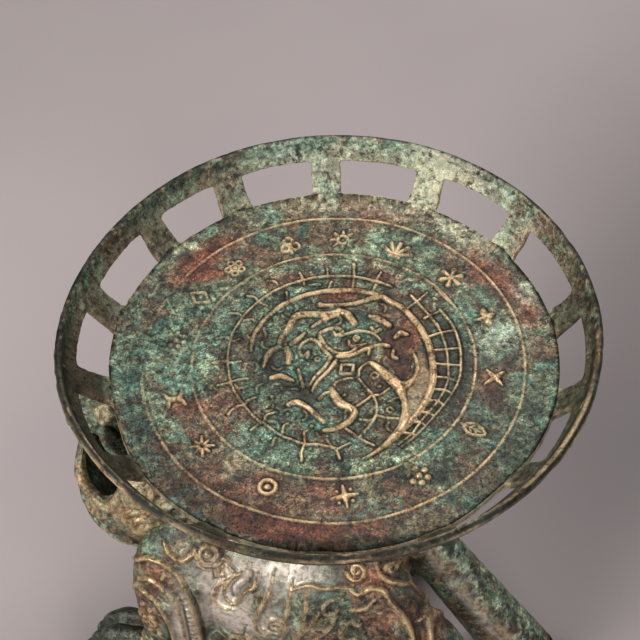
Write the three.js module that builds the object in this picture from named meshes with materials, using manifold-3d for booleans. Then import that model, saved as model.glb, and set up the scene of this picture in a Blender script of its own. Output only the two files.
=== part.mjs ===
// Round openwork bronze tray that turns on a column, carried on the back of a cast beast.
// Millimetres, +Z up. The origin is on the ground under the tray's axis; the beast faces -X.
import * as THREE from "three";
import { mergeVertices } from "three/addons/utils/BufferGeometryUtils.js";
import Module from "manifold-3d";

// ---------------------------------------------------------------- driving dimensions
const GAP = 0.3; // between pieces that touch

// tray
const FLOOR_Z = 240; // top of the tray's floor above the ground
const FLOOR_R = 110; // edge of the flat floor, where the wall starts
const FLOOR_T = 4; // floor thickness
const WALL_TOP_R = 125.2; // inside of the wall just under the lip
const WALL_TOP_Z = 20.4; // height of that point over the floor
const WALL_T = 3.6; // wall thickness
const LIP_R = 126.9; // middle of the rounded lip
const LIP_Z = 23.4;
const LIP_BEAD = 2.7; // radius of the lip
const WINDOW_LOW = 0.6; // window sill, along the slope from the floor's edge
const WINDOW_HIGH = 18.2; // window head, along the slope
const POST_DEG = 8.0; // angle that each post takes
const WINDOW_CORNER = 2.5;
// middles of the posts round the tray, in degrees
const POSTS = [
  23.5, 51.5, 78.2, 103.9, 129.1, 152.1, 176.8, 200.9, 226.1, 253.0, 280.0,
  307.0, 333.9, 358.3,
];

// pivot and column
const PIVOT_R = 8; // tenon on top of the column
const SOCKET_R = PIVOT_R + GAP;
const SOCKET_LOW = FLOOR_Z - 22; // mouth of the socket, resting on the column's shoulder
const SOCKET_TOP = FLOOR_Z - 8;
const PIVOT_TOP = SOCKET_TOP - 0.5;
const SOCKET_FLANGE_R = 31;
const SOCKET_HUB_R = 17;
const COLUMN_R = 12.5;
const COLUMN_FOOT_R = 27;
const COLUMN_LOW = 136; // the foot starts below the back and is shaped to it
const BOLT_R = 5;
const BOLT_TOP = 184;
const PAD_Z = 135; // flat underside of the pad inside the back
const BOLT_LOW = PAD_Z - 15;
const PAD_R = 17;
const WASHER_R = 13;
const WASHER_T = 2.4;
const NUT_R = 9.2;
const NUT_H = 8;

// beast
const SHELL_T = 5; // wall of the hollow body
const ACCESS = [18, 14]; // half length and half width of the core hole in the belly, under the nut
// stations along the body: x, middle height, half width, half height up, half height down
const BODY = [
  [-94, 94, 0, 0, 0],
  [-92, 94, 20, 22, 20],
  [-84, 92, 42, 41, 42],
  [-66, 89, 60, 52, 64],
  [-40, 87, 67, 57, 68],
  [-8, 87, 68.5, 58, 63],
  [16, 88, 65, 57, 57],
  [28, 90, 54, 50, 51],
  [36.5, 92, 37, 36, 38],
  [42, 93, 17, 17, 19],
  [43.5, 93, 0, 0, 0],
];
// legs, from the top down: z, x of the middle, y of the middle (left side), half length, half width
const FRONT_LEG = [
  [140, -70, -44, 0, 0],
  [138, -70, -44, 11, 5],
  [126, -73, -48, 22, 12],
  [110, -74.5, -51, 26, 16.5],
  [92, -76, -52, 26.5, 18],
  [74, -77, -52, 25.5, 17.5],
  [54, -78, -52, 24, 16.5],
  [36, -80, -52, 22, 15.5],
  [22, -82, -52, 21, 16],
  [10, -83, -52, 21.5, 18],
  [2.5, -83.5, -52, 22, 18.6],
  [0, -83.5, -52, 21, 17.8],
  [0, -83.5, -52, 0, 0],
];
const HIND_LEG = [
  [136, 29, -39, 0, 0],
  [134, 29, -39, 10, 4],
  [124, 31, -43, 19, 11],
  [108, 33, -47, 23.5, 15.5],
  [92, 40, -48.5, 28, 17.5],
  [77, 49, -49.5, 31, 18],
  [62, 54.5, -50.5, 29, 17.5],
  [48, 58, -51, 22, 16],
  [33, 57.5, -51.5, 17, 15],
  [18, 56, -52, 16.5, 15.5],
  [7, 54.5, -52, 18, 17.5],
  [2, 54, -52, 18.5, 18.2],
  [0, 54, -52, 17.5, 17.4],
  [0, 54, -52, 0, 0],
];
const HIND_STEP = -22; // the right hind leg steps forward
// toes: x of the middle, half length, half width, half height, height of the middle, spread between toes
const FRONT_TOES = [-110, 27, 8.4, 19, 12.5, 12.2];
const HIND_TOES = [30, 24, 8.2, 18, 12.5, 12];

// head, an egg with an open mouth under a narrow snout
const HEAD_MID = new THREE.Vector3(-104, 0, 125);
const HEAD_SEMI = new THREE.Vector3(42, 45, 48);
const HEAD_HOLLOW_MID = new THREE.Vector3(-108, 0, 130);
const HEAD_HOLLOW_SEMI = new THREE.Vector3(31, 37, 37);
const SNOUT_MID = new THREE.Vector3(-121, 0, 160);
const SNOUT_SEMI = new THREE.Vector3(25, 13, 16);
// outline of the mouth seen from the side: x, z
const MOUTH = [
  [-135, 144],
  [-131.5, 140],
  [-118, 139],
  [-113, 143],
  [-108.5, 152],
  [-109, 158],
  [-113, 162],
  [-129, 162],
  [-134, 157],
];

// ears
const EAR_BASE = new THREE.Vector3(-86, -28, 160);
const EAR_TIP = new THREE.Vector3(-70, -46, 196);
const EAR_HALF = 11;
const EAR_T = 3.2;

// tail: a straight round bar in the middle plane that reaches the ground
const TAIL_R = [14.6, 17.8]; // at the root and on the ground
const TAIL_ROOT = new THREE.Vector3(30, 0, 122);
const TAIL_END = new THREE.Vector3(108.5, 0, -14);
const TAIL_TIP_MID = new THREE.Vector3(122, -6, 1); // oval tip that the tail ends in, curled to the left on the ground
const TAIL_TIP_SEMI = new THREE.Vector3(24, 11, 9);

// ---------------------------------------------------------------- solids
const wasm = await Module();
wasm.setup();

// A closed three.js geometry as a solid, whichever way its profile ran.
function solid(geometry) {
  const flat = geometry.index ? geometry.toNonIndexed() : geometry.clone();
  for (const name of Object.keys(flat.attributes))
    if (name !== "position") flat.deleteAttribute(name);
  const merged = mergeVertices(flat, 1e-4);
  const p = merged.attributes.position.array;
  const tri = [];
  const at = merged.index.array;
  let six = 0;
  for (let i = 0; i < at.length; i += 3) {
    const [a, b, c] = [at[i], at[i + 1], at[i + 2]];
    if (a === b || b === c || a === c) continue;
    tri.push(a, b, c);
    const A = 3 * a;
    const B = 3 * b;
    const C = 3 * c;
    six +=
      p[A] * (p[B + 1] * p[C + 2] - p[B + 2] * p[C + 1]) +
      p[A + 1] * (p[B + 2] * p[C] - p[B] * p[C + 2]) +
      p[A + 2] * (p[B] * p[C + 1] - p[B + 1] * p[C]);
  }
  if (six < 0)
    for (let i = 0; i < tri.length; i += 3)
      [tri[i + 1], tri[i + 2]] = [tri[i + 2], tri[i + 1]];
  return new wasm.Manifold(
    new wasm.Mesh({
      numProp: 3,
      vertProperties: new Float32Array(p),
      triVerts: new Uint32Array(tri),
    }),
  );
}

function geometryOf(made) {
  const mesh = made.getMesh();
  const position = new Float32Array(mesh.numVert * 3);
  for (let i = 0; i < mesh.numVert; i++)
    position.set(
      mesh.vertProperties.subarray(i * mesh.numProp, i * mesh.numProp + 3),
      i * 3,
    );
  const g = new THREE.BufferGeometry();
  g.setAttribute("position", new THREE.BufferAttribute(position, 3));
  g.setIndex(new THREE.BufferAttribute(new Uint32Array(mesh.triVerts), 1));
  g.computeVertexNormals();
  return g;
}

// A sphere's grid pulled into another closed shape: place(share along, angle round) gives each point.
function pulled(around, along, place) {
  const g = new THREE.SphereGeometry(1, around, along);
  const p = g.attributes.position;
  let i = 0;
  for (let iy = 0; iy <= along; iy++)
    for (let ix = 0; ix <= around; ix++, i++) {
      const v = place(iy / along, (2 * Math.PI * (ix % around)) / around);
      p.setXYZ(i, v.x, v.y, v.z);
    }
  return g;
}

// A smooth curve through the rows of a table; s runs from 0 to 1 over all rows.
function along(table, s) {
  const n = table.length - 1;
  const f = Math.min(Math.max(s, 0), 1) * n;
  const k = Math.min(Math.floor(f), n - 1);
  const t = f - k;
  const row = (i) => table[Math.min(Math.max(i, 0), n)];
  return table[0].map((_, c) => {
    const [a, b, d, e] = [row(k - 1)[c], row(k)[c], row(k + 1)[c], row(k + 2)[c]];
    const lo = k === 0 ? b : a;
    const hi = k === n - 1 ? d : e;
    const m0 = (d - lo) / 2;
    const m1 = (hi - b) / 2;
    const t2 = t * t;
    const t3 = t2 * t;
    return (
      (2 * t3 - 3 * t2 + 1) * b +
      (t3 - 2 * t2 + t) * m0 +
      (-2 * t3 + 3 * t2) * d +
      (t3 - t2) * m1
    );
  });
}

const turned = (profile, around) =>
  solid(
    new THREE.LatheGeometry(
      profile.map(([r, z]) => new THREE.Vector2(r, z)),
      around,
    ).rotateX(Math.PI / 2),
  );
const egg = (mid, semi, around = 28, rows = 18) =>
  solid(
    new THREE.SphereGeometry(1, around, rows)
      .rotateX(Math.PI / 2)
      .scale(semi.x, semi.y, semi.z)
      .translate(mid.x, mid.y, mid.z),
  );
const block = (x0, x1, y0, y1, z0, z1) =>
  solid(
    new THREE.BoxGeometry(x1 - x0, y1 - y0, z1 - z0).translate(
      (x0 + x1) / 2,
      (y0 + y1) / 2,
      (z0 + z1) / 2,
    ),
  );
const rod = (r, z0, z1, around = 24) =>
  solid(
    new THREE.CylinderGeometry(r, r, z1 - z0, around)
      .rotateX(Math.PI / 2)
      .translate(0, 0, (z0 + z1) / 2),
  );
const mirrored = (geometry) => geometry.clone().scale(1, -1, 1);

// ---------------------------------------------------------------- tray
function trayDish() {
  const slope = Math.atan2(WALL_TOP_Z, WALL_TOP_R - FLOOR_R);
  const nx = Math.sin(slope) * WALL_T;
  const nz = -Math.cos(slope) * WALL_T;
  const profile = [
    [0, -FLOOR_T],
    [FLOOR_R - 3, -FLOOR_T],
    [FLOOR_R + 0.4, -3.6],
    [FLOOR_R + nx + 0.6, nz + 0.7],
    [WALL_TOP_R + nx - 0.6, WALL_TOP_Z + nz - 0.7],
  ];
  for (const deg of [-30, 15, 60, 105, 150, 186])
    profile.push([
      LIP_R + LIP_BEAD * Math.cos((deg * Math.PI) / 180),
      LIP_Z + LIP_BEAD * Math.sin((deg * Math.PI) / 180),
    ]);
  profile.push([WALL_TOP_R - 1.5, WALL_TOP_Z - 1.8], [FLOOR_R, 0], [0, 0]);
  let dish = turned(
    profile.map(([r, z]) => [r, z + FLOOR_Z]),
    56,
  );
  const out = Math.cos(slope);
  const up = Math.sin(slope);
  POSTS.forEach((post, i) => {
    const next = i + 1 < POSTS.length ? POSTS[i + 1] : POSTS[0] + 360;
    const half = (((next - post) / 2 - POST_DEG / 2) * Math.PI) / 180;
    const middle = ((post + next) * Math.PI) / 360;
    const low = (FLOOR_R + WINDOW_LOW * out) * Math.sin(half);
    const high = (FLOOR_R + WINDOW_HIGH * out) * Math.sin(half);
    const c = WINDOW_CORNER;
    const s = new THREE.Shape();
    s.moveTo(-low + c, WINDOW_LOW);
    s.lineTo(low - c, WINDOW_LOW);
    s.lineTo(low, WINDOW_LOW + c);
    s.lineTo(high, WINDOW_HIGH - c);
    s.lineTo(high - c, WINDOW_HIGH);
    s.lineTo(-high + c, WINDOW_HIGH);
    s.lineTo(-high, WINDOW_HIGH - c);
    s.lineTo(-low, WINDOW_LOW + c);
    s.closePath();
    const g = new THREE.ExtrudeGeometry(s, { depth: 40, bevelEnabled: false });
    g.translate(0, 0, -20);
    // shape x runs round the tray, shape y up the slope, the extrusion through the wall
    const basis = new THREE.Matrix4().makeBasis(
      new THREE.Vector3(0, 1, 0),
      new THREE.Vector3(out, 0, up),
      new THREE.Vector3(up, 0, -out),
    );
    const back = (FLOOR_R + 20) * (1 - Math.cos(half)) * 0.35; // the chord lies inside the arc
    g.applyMatrix4(basis).translate(FLOOR_R - back, 0, FLOOR_Z);
    g.rotateZ(middle);
    dish = dish.subtract(solid(g));
  });
  return dish;
}

function traySocket() {
  const top = FLOOR_Z - FLOOR_T - GAP;
  return turned(
    [
      [0, SOCKET_TOP],
      [SOCKET_R, SOCKET_TOP],
      [SOCKET_R, SOCKET_LOW + 1],
      [SOCKET_R + 1, SOCKET_LOW],
      [SOCKET_HUB_R - 1.5, SOCKET_LOW],
      [SOCKET_HUB_R, SOCKET_LOW + 1.5],
      [SOCKET_HUB_R, top - 9],
      [SOCKET_HUB_R + 3, top - 5.5],
      [SOCKET_FLANGE_R - 1, top - 3.2],
      [SOCKET_FLANGE_R, top - 2.2],
      [SOCKET_FLANGE_R, top],
      [0, top],
    ],
    32,
  );
}

// ---------------------------------------------------------------- beast
function bodyForm(grow, around = 24, rows = 18) {
  return solid(
    pulled(around, rows, (s, a) => {
      const [x, mid, half, up, down] = along(BODY, s);
      const end = s <= 0 ? -1 : s >= 1 ? 1 : 0;
      const c = Math.cos(a);
      const d = Math.sin(a);
      const soft = (v) => Math.sign(v) * Math.abs(v) ** 0.9;
      const h = Math.max(half, 0) + (end ? 0 : grow);
      const v = (d > 0 ? Math.max(up, 0) : Math.max(down, 0)) + (end ? 0 : grow);
      return new THREE.Vector3(
        x + end * grow,
        end ? 0 : h * soft(c),
        mid + (end ? 0 : v * soft(d)),
      );
    }),
  );
}

const bodyOuter = bodyForm(0);
const bodyRoom = bodyForm(GAP + 0.15); // what the joined pieces stay clear of

function bodyShell() {
  const hollow = bodyForm(-SHELL_T, 16, 10).subtract(rod(PAD_R, PAD_Z, 190));
  const access = block(-ACCESS[0], ACCESS[0], -ACCESS[1], ACCESS[1], 20, 70);
  const bolt = rod(BOLT_R + GAP, PAD_Z - 30, 190, 24);
  return bodyOuter.subtract(hollow).subtract(access).subtract(bolt);
}

function legForm(table, toes, side, step = 0) {
  const leg = solid(
    pulled(16, 14, (s, a) => {
      const [z, x, y, half, wide] = along(table, s);
      const end = s <= 0 || s >= 1;
      return new THREE.Vector3(
        x + step + (end ? 0 : Math.max(half, 0) * Math.cos(a)),
        y + (end ? 0 : Math.max(wide, 0) * Math.sin(a)),
        Math.max(z, 0),
      );
    }),
  );
  const [x, long, wide, tall, mid, spread] = toes;
  const y = table[table.length - 1][2];
  let made = leg;
  for (const k of [-1, 0, 1])
    made = made.add(
      egg(
        new THREE.Vector3(x + step + 3 * Math.abs(k), y + k * spread, mid),
        new THREE.Vector3(long, wide, tall),
        10,
        7,
      ),
    );
  made = made
    .subtract(block(-300, 300, -200, 200, -100, 0))
    .subtract(bodyRoom)
    .subtract(headRoom);
  const keep = made.decompose().sort((a, b) => b.volume() - a.volume())[0];
  return side > 0 ? solid(mirrored(geometryOf(keep))) : keep;
}

const headOuter = egg(HEAD_MID, HEAD_SEMI, 24, 16);
const headRoom = egg(HEAD_MID, HEAD_SEMI.clone().addScalar(GAP + 0.3), 24, 16);

function headForm() {
  const mouth = new THREE.Shape(MOUTH.map(([x, z]) => new THREE.Vector2(x, z)));
  const slot = new THREE.ExtrudeGeometry(mouth, { depth: 120, bevelEnabled: false })
    .translate(0, 0, -60)
    .rotateX(Math.PI / 2);
  const made = headOuter
    .add(egg(SNOUT_MID, SNOUT_SEMI, 20, 12))
    .subtract(egg(HEAD_HOLLOW_MID, HEAD_HOLLOW_SEMI, 14, 10))
    .subtract(solid(slot))
    .subtract(bodyRoom);
  return made.decompose().sort((a, b) => b.volume() - a.volume())[0];
}

function earForm(side) {
  const leaf = new THREE.Shape();
  leaf.moveTo(-EAR_HALF * 0.6, -8);
  leaf.quadraticCurveTo(-EAR_HALF * 1.25, 14, 0, 40);
  leaf.quadraticCurveTo(EAR_HALF * 1.25, 14, EAR_HALF * 0.6, -8);
  leaf.closePath();
  const g = new THREE.ExtrudeGeometry(leaf, {
    depth: EAR_T,
    bevelEnabled: true,
    bevelThickness: 1.2,
    bevelSize: 1.2,
    bevelOffset: -1.2,
    bevelSegments: 2,
    curveSegments: 8,
  }).translate(0, 0, -EAR_T / 2);
  const y = EAR_TIP.clone().sub(EAR_BASE).normalize();
  const x = new THREE.Vector3(0.35, -0.2, 0).cross(y).normalize();
  const z = new THREE.Vector3().crossVectors(x, y);
  g.applyMatrix4(new THREE.Matrix4().makeBasis(x, y, z));
  g.translate(EAR_BASE.x, EAR_BASE.y, EAR_BASE.z);
  const made = solid(g).subtract(headRoom).subtract(bodyRoom);
  const keep = made.decompose().sort((a, b) => b.volume() - a.volume())[0];
  return side > 0 ? solid(mirrored(geometryOf(keep))) : keep;
}

function tailBar() {
  const way = TAIL_END.clone().sub(TAIL_ROOT);
  const long = way.length();
  const bar = new THREE.LatheGeometry(
    [
      [0, 0],
      [TAIL_R[0] * 0.6, 1.2],
      [TAIL_R[0] * 0.9, 5],
      [TAIL_R[0], 12],
      [TAIL_R[1], long],
      [0, long],
    ].map(([r, z]) => new THREE.Vector2(r, z)),
    28,
  ).rotateX(Math.PI / 2);
  bar.applyQuaternion(
    new THREE.Quaternion().setFromUnitVectors(
      new THREE.Vector3(0, 0, 1),
      way.normalize(),
    ),
  );
  bar.translate(TAIL_ROOT.x, TAIL_ROOT.y, TAIL_ROOT.z);
  const made = solid(bar)
    .add(egg(TAIL_TIP_MID, TAIL_TIP_SEMI, 24, 14))
    .subtract(block(-300, 300, -200, 200, -100, 0))
    .subtract(bodyRoom);
  return made.decompose().sort((a, b) => b.volume() - a.volume())[0];
}

function column() {
  const shoulder = SOCKET_LOW - GAP;
  const back = COLUMN_LOW + 10;
  const post = turned(
    [
      [0, COLUMN_LOW],
      [COLUMN_FOOT_R, COLUMN_LOW],
      [COLUMN_FOOT_R, back + 4],
      [COLUMN_FOOT_R - 2, back + 6],
      [COLUMN_R + 5, back + 9],
      [COLUMN_R + 1, back + 14],
      [COLUMN_R, back + 19],
      [COLUMN_R, back + 29],
      [COLUMN_R + 2.6, back + 30.5],
      [COLUMN_R + 2.6, back + 34.5],
      [COLUMN_R, back + 36],
      [COLUMN_R, shoulder - 11],
      [COLUMN_R + 2, shoulder - 6],
      [SOCKET_HUB_R - 1, shoulder - 3.4],
      [SOCKET_HUB_R, shoulder - 2],
      [SOCKET_HUB_R, shoulder],
      [PIVOT_R, shoulder],
      [PIVOT_R, PIVOT_TOP - 1],
      [PIVOT_R - 1, PIVOT_TOP],
      [0, PIVOT_TOP],
    ],
    28,
  );
  return post
    .subtract(bodyRoom)
    .subtract(rod(BOLT_R + GAP, PAD_Z - 30, BOLT_TOP + 0.5, 24));
}

const tieBolt = () => rod(BOLT_R, BOLT_LOW, BOLT_TOP, 24);
const tieWasher = () =>
  rod(WASHER_R, PAD_Z - GAP - WASHER_T, PAD_Z - GAP, 36).subtract(
    rod(BOLT_R + GAP, PAD_Z - 30, PAD_Z + 10, 24),
  );
const tieNut = () => {
  const top = PAD_Z - 2 * GAP - WASHER_T;
  return rod(NUT_R, top - NUT_H, top, 6).subtract(
    rod(BOLT_R + GAP, PAD_Z - 30, PAD_Z + 10, 24),
  );
};

// ---------------------------------------------------------------- assembly
const bronze = (color, roughness = 0.55) =>
  new THREE.MeshStandardMaterial({ color, roughness, metalness: 0.75 });

function piece(name, made, material) {
  const mesh = new THREE.Mesh(geometryOf(made), material);
  mesh.name = name;
  return mesh;
}

const tray = new THREE.Group();
tray.add(
  piece("tray_dish", trayDish(), bronze(0x4f6353)),
  piece("tray_socket", traySocket(), bronze(0x4a4a3c)),
);

const stand = new THREE.Group();
stand.add(
  piece("column", column(), bronze(0x54584a)),
  piece("tie_bolt", tieBolt(), bronze(0x8a7a58, 0.4)),
  piece("tie_washer", tieWasher(), bronze(0x8a7a58, 0.4)),
  piece("tie_nut", tieNut(), bronze(0x8a7a58, 0.4)),
  piece("body_shell", bodyShell(), bronze(0x6b6152)),
  piece("head", headForm(), bronze(0x5c6654)),
  piece("ear_left", earForm(-1), bronze(0x5c6654)),
  piece("ear_right", earForm(1), bronze(0x5c6654)),
  piece("leg_front_left", legForm(FRONT_LEG, FRONT_TOES, -1), bronze(0x6a5a4a)),
  piece("leg_front_right", legForm(FRONT_LEG, FRONT_TOES, 1), bronze(0x6a5a4a)),
  piece("leg_hind_left", legForm(HIND_LEG, HIND_TOES, -1), bronze(0x6a5a4a)),
  piece("leg_hind_right", legForm(HIND_LEG, HIND_TOES, 1, HIND_STEP), bronze(0x6a5a4a)),
  piece("tail_bar", tailBar(), bronze(0x5a6052)),
);

const part = new THREE.Group();
part.add(stand, tray);
export default part;
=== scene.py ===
"""Bronze fruit tray on a beast stand: cast relief, patina, studio light and camera."""

import math

import bpy
import numpy as np
from mathutils import Matrix, Vector
from mathutils.geometry import delaunay_2d_cdt


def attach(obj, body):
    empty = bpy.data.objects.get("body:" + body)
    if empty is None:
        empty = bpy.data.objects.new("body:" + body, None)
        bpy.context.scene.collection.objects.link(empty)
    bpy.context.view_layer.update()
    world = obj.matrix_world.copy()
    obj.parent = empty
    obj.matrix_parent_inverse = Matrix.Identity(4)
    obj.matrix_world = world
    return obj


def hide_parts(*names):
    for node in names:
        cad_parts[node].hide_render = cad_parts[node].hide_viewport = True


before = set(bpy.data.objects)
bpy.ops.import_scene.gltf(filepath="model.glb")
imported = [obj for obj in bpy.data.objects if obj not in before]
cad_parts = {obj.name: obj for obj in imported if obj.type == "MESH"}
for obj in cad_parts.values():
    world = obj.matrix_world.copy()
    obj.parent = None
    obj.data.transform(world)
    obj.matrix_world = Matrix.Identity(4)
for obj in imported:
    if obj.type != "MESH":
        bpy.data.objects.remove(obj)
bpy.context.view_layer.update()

MM = 0.001
TURN = math.radians(15.0)  # the tray's relief is laid out square to the camera

# ---------------------------------------------------------------- numbers


def smoothstep(a, b, x):
    t = np.clip((np.asarray(x, float) - a) / (b - a), 0, 1)
    return t * t * (3 - 2 * t)


def hashed(ix, iy, iz, seed):
    h = (ix * 374761393 + iy * 668265263 + iz * 1440662683 + seed * 974634777) & 0xFFFFFFFF
    h = ((h ^ (h >> 13)) * 1274126177) & 0xFFFFFFFF
    return ((h ^ (h >> 16)) & 0xFFFFFF) / float(0xFFFFFF)


def noise(p, size, seed=0):
    """Smooth noise, -1 to 1, in lumps of about that size."""
    q = np.asarray(p, float) / size + 31.7
    i = np.floor(q).astype(np.int64)
    f = q - i
    f = f * f * (3 - 2 * f)
    out = np.zeros(len(q))
    for dx in (0, 1):
        wx = f[:, 0] if dx else 1 - f[:, 0]
        for dy in (0, 1):
            wy = f[:, 1] if dy else 1 - f[:, 1]
            for dz in (0, 1):
                wz = f[:, 2] if dz else 1 - f[:, 2]
                out += wx * wy * wz * hashed(i[:, 0] + dx, i[:, 1] + dy, i[:, 2] + dz, seed)
    return 2 * out - 1


def lumps(p, size, seed=0, octaves=3):
    out, gain, total = 0, 1.0, 0
    for k in range(octaves):
        out = out + gain * noise(p, size / 2**k, seed + 7 * k)
        total += gain
        gain *= 0.55
    return out / total


def flat3(x, y, z=0.0):
    return np.stack([x, y, np.zeros_like(x) + z], 1)


def curve(points, step=0.5, closed=False):
    """Catmull-Rom through the points, at about that step. Extra columns ride along."""
    p = np.asarray(points, float)
    n = len(p)
    if n == 2 and not closed:
        k = max(2, int(np.linalg.norm(p[1, :2] - p[0, :2]) / step) + 1)
        t = np.linspace(0, 1, k)[:, None]
        return p[0] * (1 - t) + p[1] * t
    out = []
    spans = n if closed else n - 1
    for i in range(spans):
        b, c = p[i % n], p[(i + 1) % n]
        a = p[(i - 1) % n] if closed or i > 0 else 2 * b - c
        d = p[(i + 2) % n] if closed or i + 2 < n else 2 * c - b
        k = max(2, int(np.linalg.norm(c[:2] - b[:2]) / step) + 1)
        t = np.linspace(0, 1, k, endpoint=False)[:, None]
        out.append(
            0.5
            * (
                2 * b
                + (c - a) * t
                + (2 * a - 5 * b + 4 * c - d) * t**2
                + (3 * b - a - 3 * c + d) * t**3
            )
        )
    out.append(p[0:1] if closed else p[-1:])
    return np.concatenate(out)


class Relief:
    """A height field of raised lines: how far inside a line each point is, and that line's height."""

    def __init__(self, lo, hi, cell):
        self.lo, self.cell = np.asarray(lo, float), cell
        self.n = np.ceil((np.asarray(hi, float) - self.lo) / cell).astype(int) + 1
        self.inside = np.full(self.n, -9.0)
        self.high = np.zeros(self.n)

    def dot(self, x, y, half, high, reach=2.6):
        r = half + reach
        i0, i1 = int((x - r - self.lo[0]) / self.cell), int((x + r - self.lo[0]) / self.cell) + 2
        j0, j1 = int((y - r - self.lo[1]) / self.cell), int((y + r - self.lo[1]) / self.cell) + 2
        i0, j0, i1, j1 = max(i0, 0), max(j0, 0), min(i1, self.n[0]), min(j1, self.n[1])
        if i1 <= i0 or j1 <= j0:
            return
        gx = self.lo[0] + self.cell * np.arange(i0, i1) - x
        gy = self.lo[1] + self.cell * np.arange(j0, j1) - y
        s = half - np.sqrt(gx[:, None] ** 2 + gy[None, :] ** 2)
        old = self.inside[i0:i1, j0:j1]
        m = s > old
        old[m] = s[m]
        hv = self.high[i0:i1, j0:j1]
        hv[m] = high

    def line(self, points, width, high=1.0, closed=False, sharp=False):
        p = np.asarray(points, float)
        w = np.asarray(width, float)
        if w.ndim == 0:
            w = np.full(len(p), float(w))
        elif len(w) != len(p):
            w = np.interp(np.linspace(0, 1, len(p)), np.linspace(0, 1, len(w)), w)
        q = np.column_stack([p, w / 2])
        if sharp:
            ring = np.concatenate([q, q[:1]]) if closed else q
            path = np.concatenate([curve(ring[i : i + 2], 0.3) for i in range(len(ring) - 1)])
        else:
            path = curve(q, 0.3, closed)
        for x, y, half in path:
            self.dot(x, y, max(half, 0.12), high)

    def at(self, x, y, field=None):
        f = self.inside if field is None else field
        u = np.clip((x - self.lo[0]) / self.cell, 0, self.n[0] - 1.001)
        v = np.clip((y - self.lo[1]) / self.cell, 0, self.n[1] - 1.001)
        i, j = u.astype(int), v.astype(int)
        a, b = u - i, v - j
        return (
            f[i, j] * (1 - a) * (1 - b)
            + f[i + 1, j] * a * (1 - b)
            + f[i, j + 1] * (1 - a) * b
            + f[i + 1, j + 1] * a * b
        )


def sound(quads, tris):
    """The faces, with a quad that uses a point twice made a triangle, and without faces that share all their points."""
    flat = np.zeros(len(quads), bool)
    more = [tris]
    for k in range(4):
        same = (quads[:, k] == quads[:, (k + 1) % 4]) & ~flat
        more.append(np.delete(quads[same], k, axis=1))
        flat |= same
    kept = []
    for faces in (quads[~flat], np.concatenate(more)):
        line = np.sort(faces, 1)
        if len(faces):
            _, where, count = np.unique(line, axis=0, return_inverse=True, return_counts=True)
            faces = faces[(np.diff(line, axis=1) > 0).all(1) & (count[where.ravel()] == 1)]
        kept.append(faces)
    return kept


def piece(name, verts, quads, tris, attrs, material, body, nodes):
    """One mesh piece from points in mm; it rides on its body and stands for its CAD nodes."""
    quads = np.zeros((0, 4), int) if quads is None or not len(quads) else np.asarray(quads, int)
    tris = np.zeros((0, 3), int) if tris is None or not len(tris) else np.asarray(tris, int)
    quads, tris = sound(quads, tris)
    me = bpy.data.meshes.new(name)
    me.vertices.add(len(verts))
    me.vertices.foreach_set("co", (np.asarray(verts) * MM).astype(np.float32).ravel())
    loops = np.concatenate([quads.ravel(), tris.ravel()]).astype(np.int32)
    me.loops.add(len(loops))
    me.loops.foreach_set("vertex_index", loops)
    me.polygons.add(len(quads) + len(tris))
    starts = np.concatenate([np.arange(len(quads)) * 4, 4 * len(quads) + np.arange(len(tris)) * 3])
    me.polygons.foreach_set("loop_start", starts.astype(np.int32))
    me.polygons.foreach_set("use_smooth", np.ones(len(quads) + len(tris), bool))
    me.update(calc_edges=True)
    for key, values in attrs.items():
        a = me.attributes.new(key, "FLOAT", "POINT")
        a.data.foreach_set("value", np.asarray(values, np.float32))
    obj = bpy.data.objects.new(name, me)
    bpy.context.scene.collection.objects.link(obj)
    me.materials.append(material)
    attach(obj, body)
    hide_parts(*nodes)
    return obj


# ---------------------------------------------------------------- materials


def linear(rgb):
    return tuple(
        (c / 255 / 12.92) if c / 255 <= 0.04045 else ((c / 255 + 0.055) / 1.055) ** 2.4 for c in rgb
    ) + (1.0,)


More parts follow.
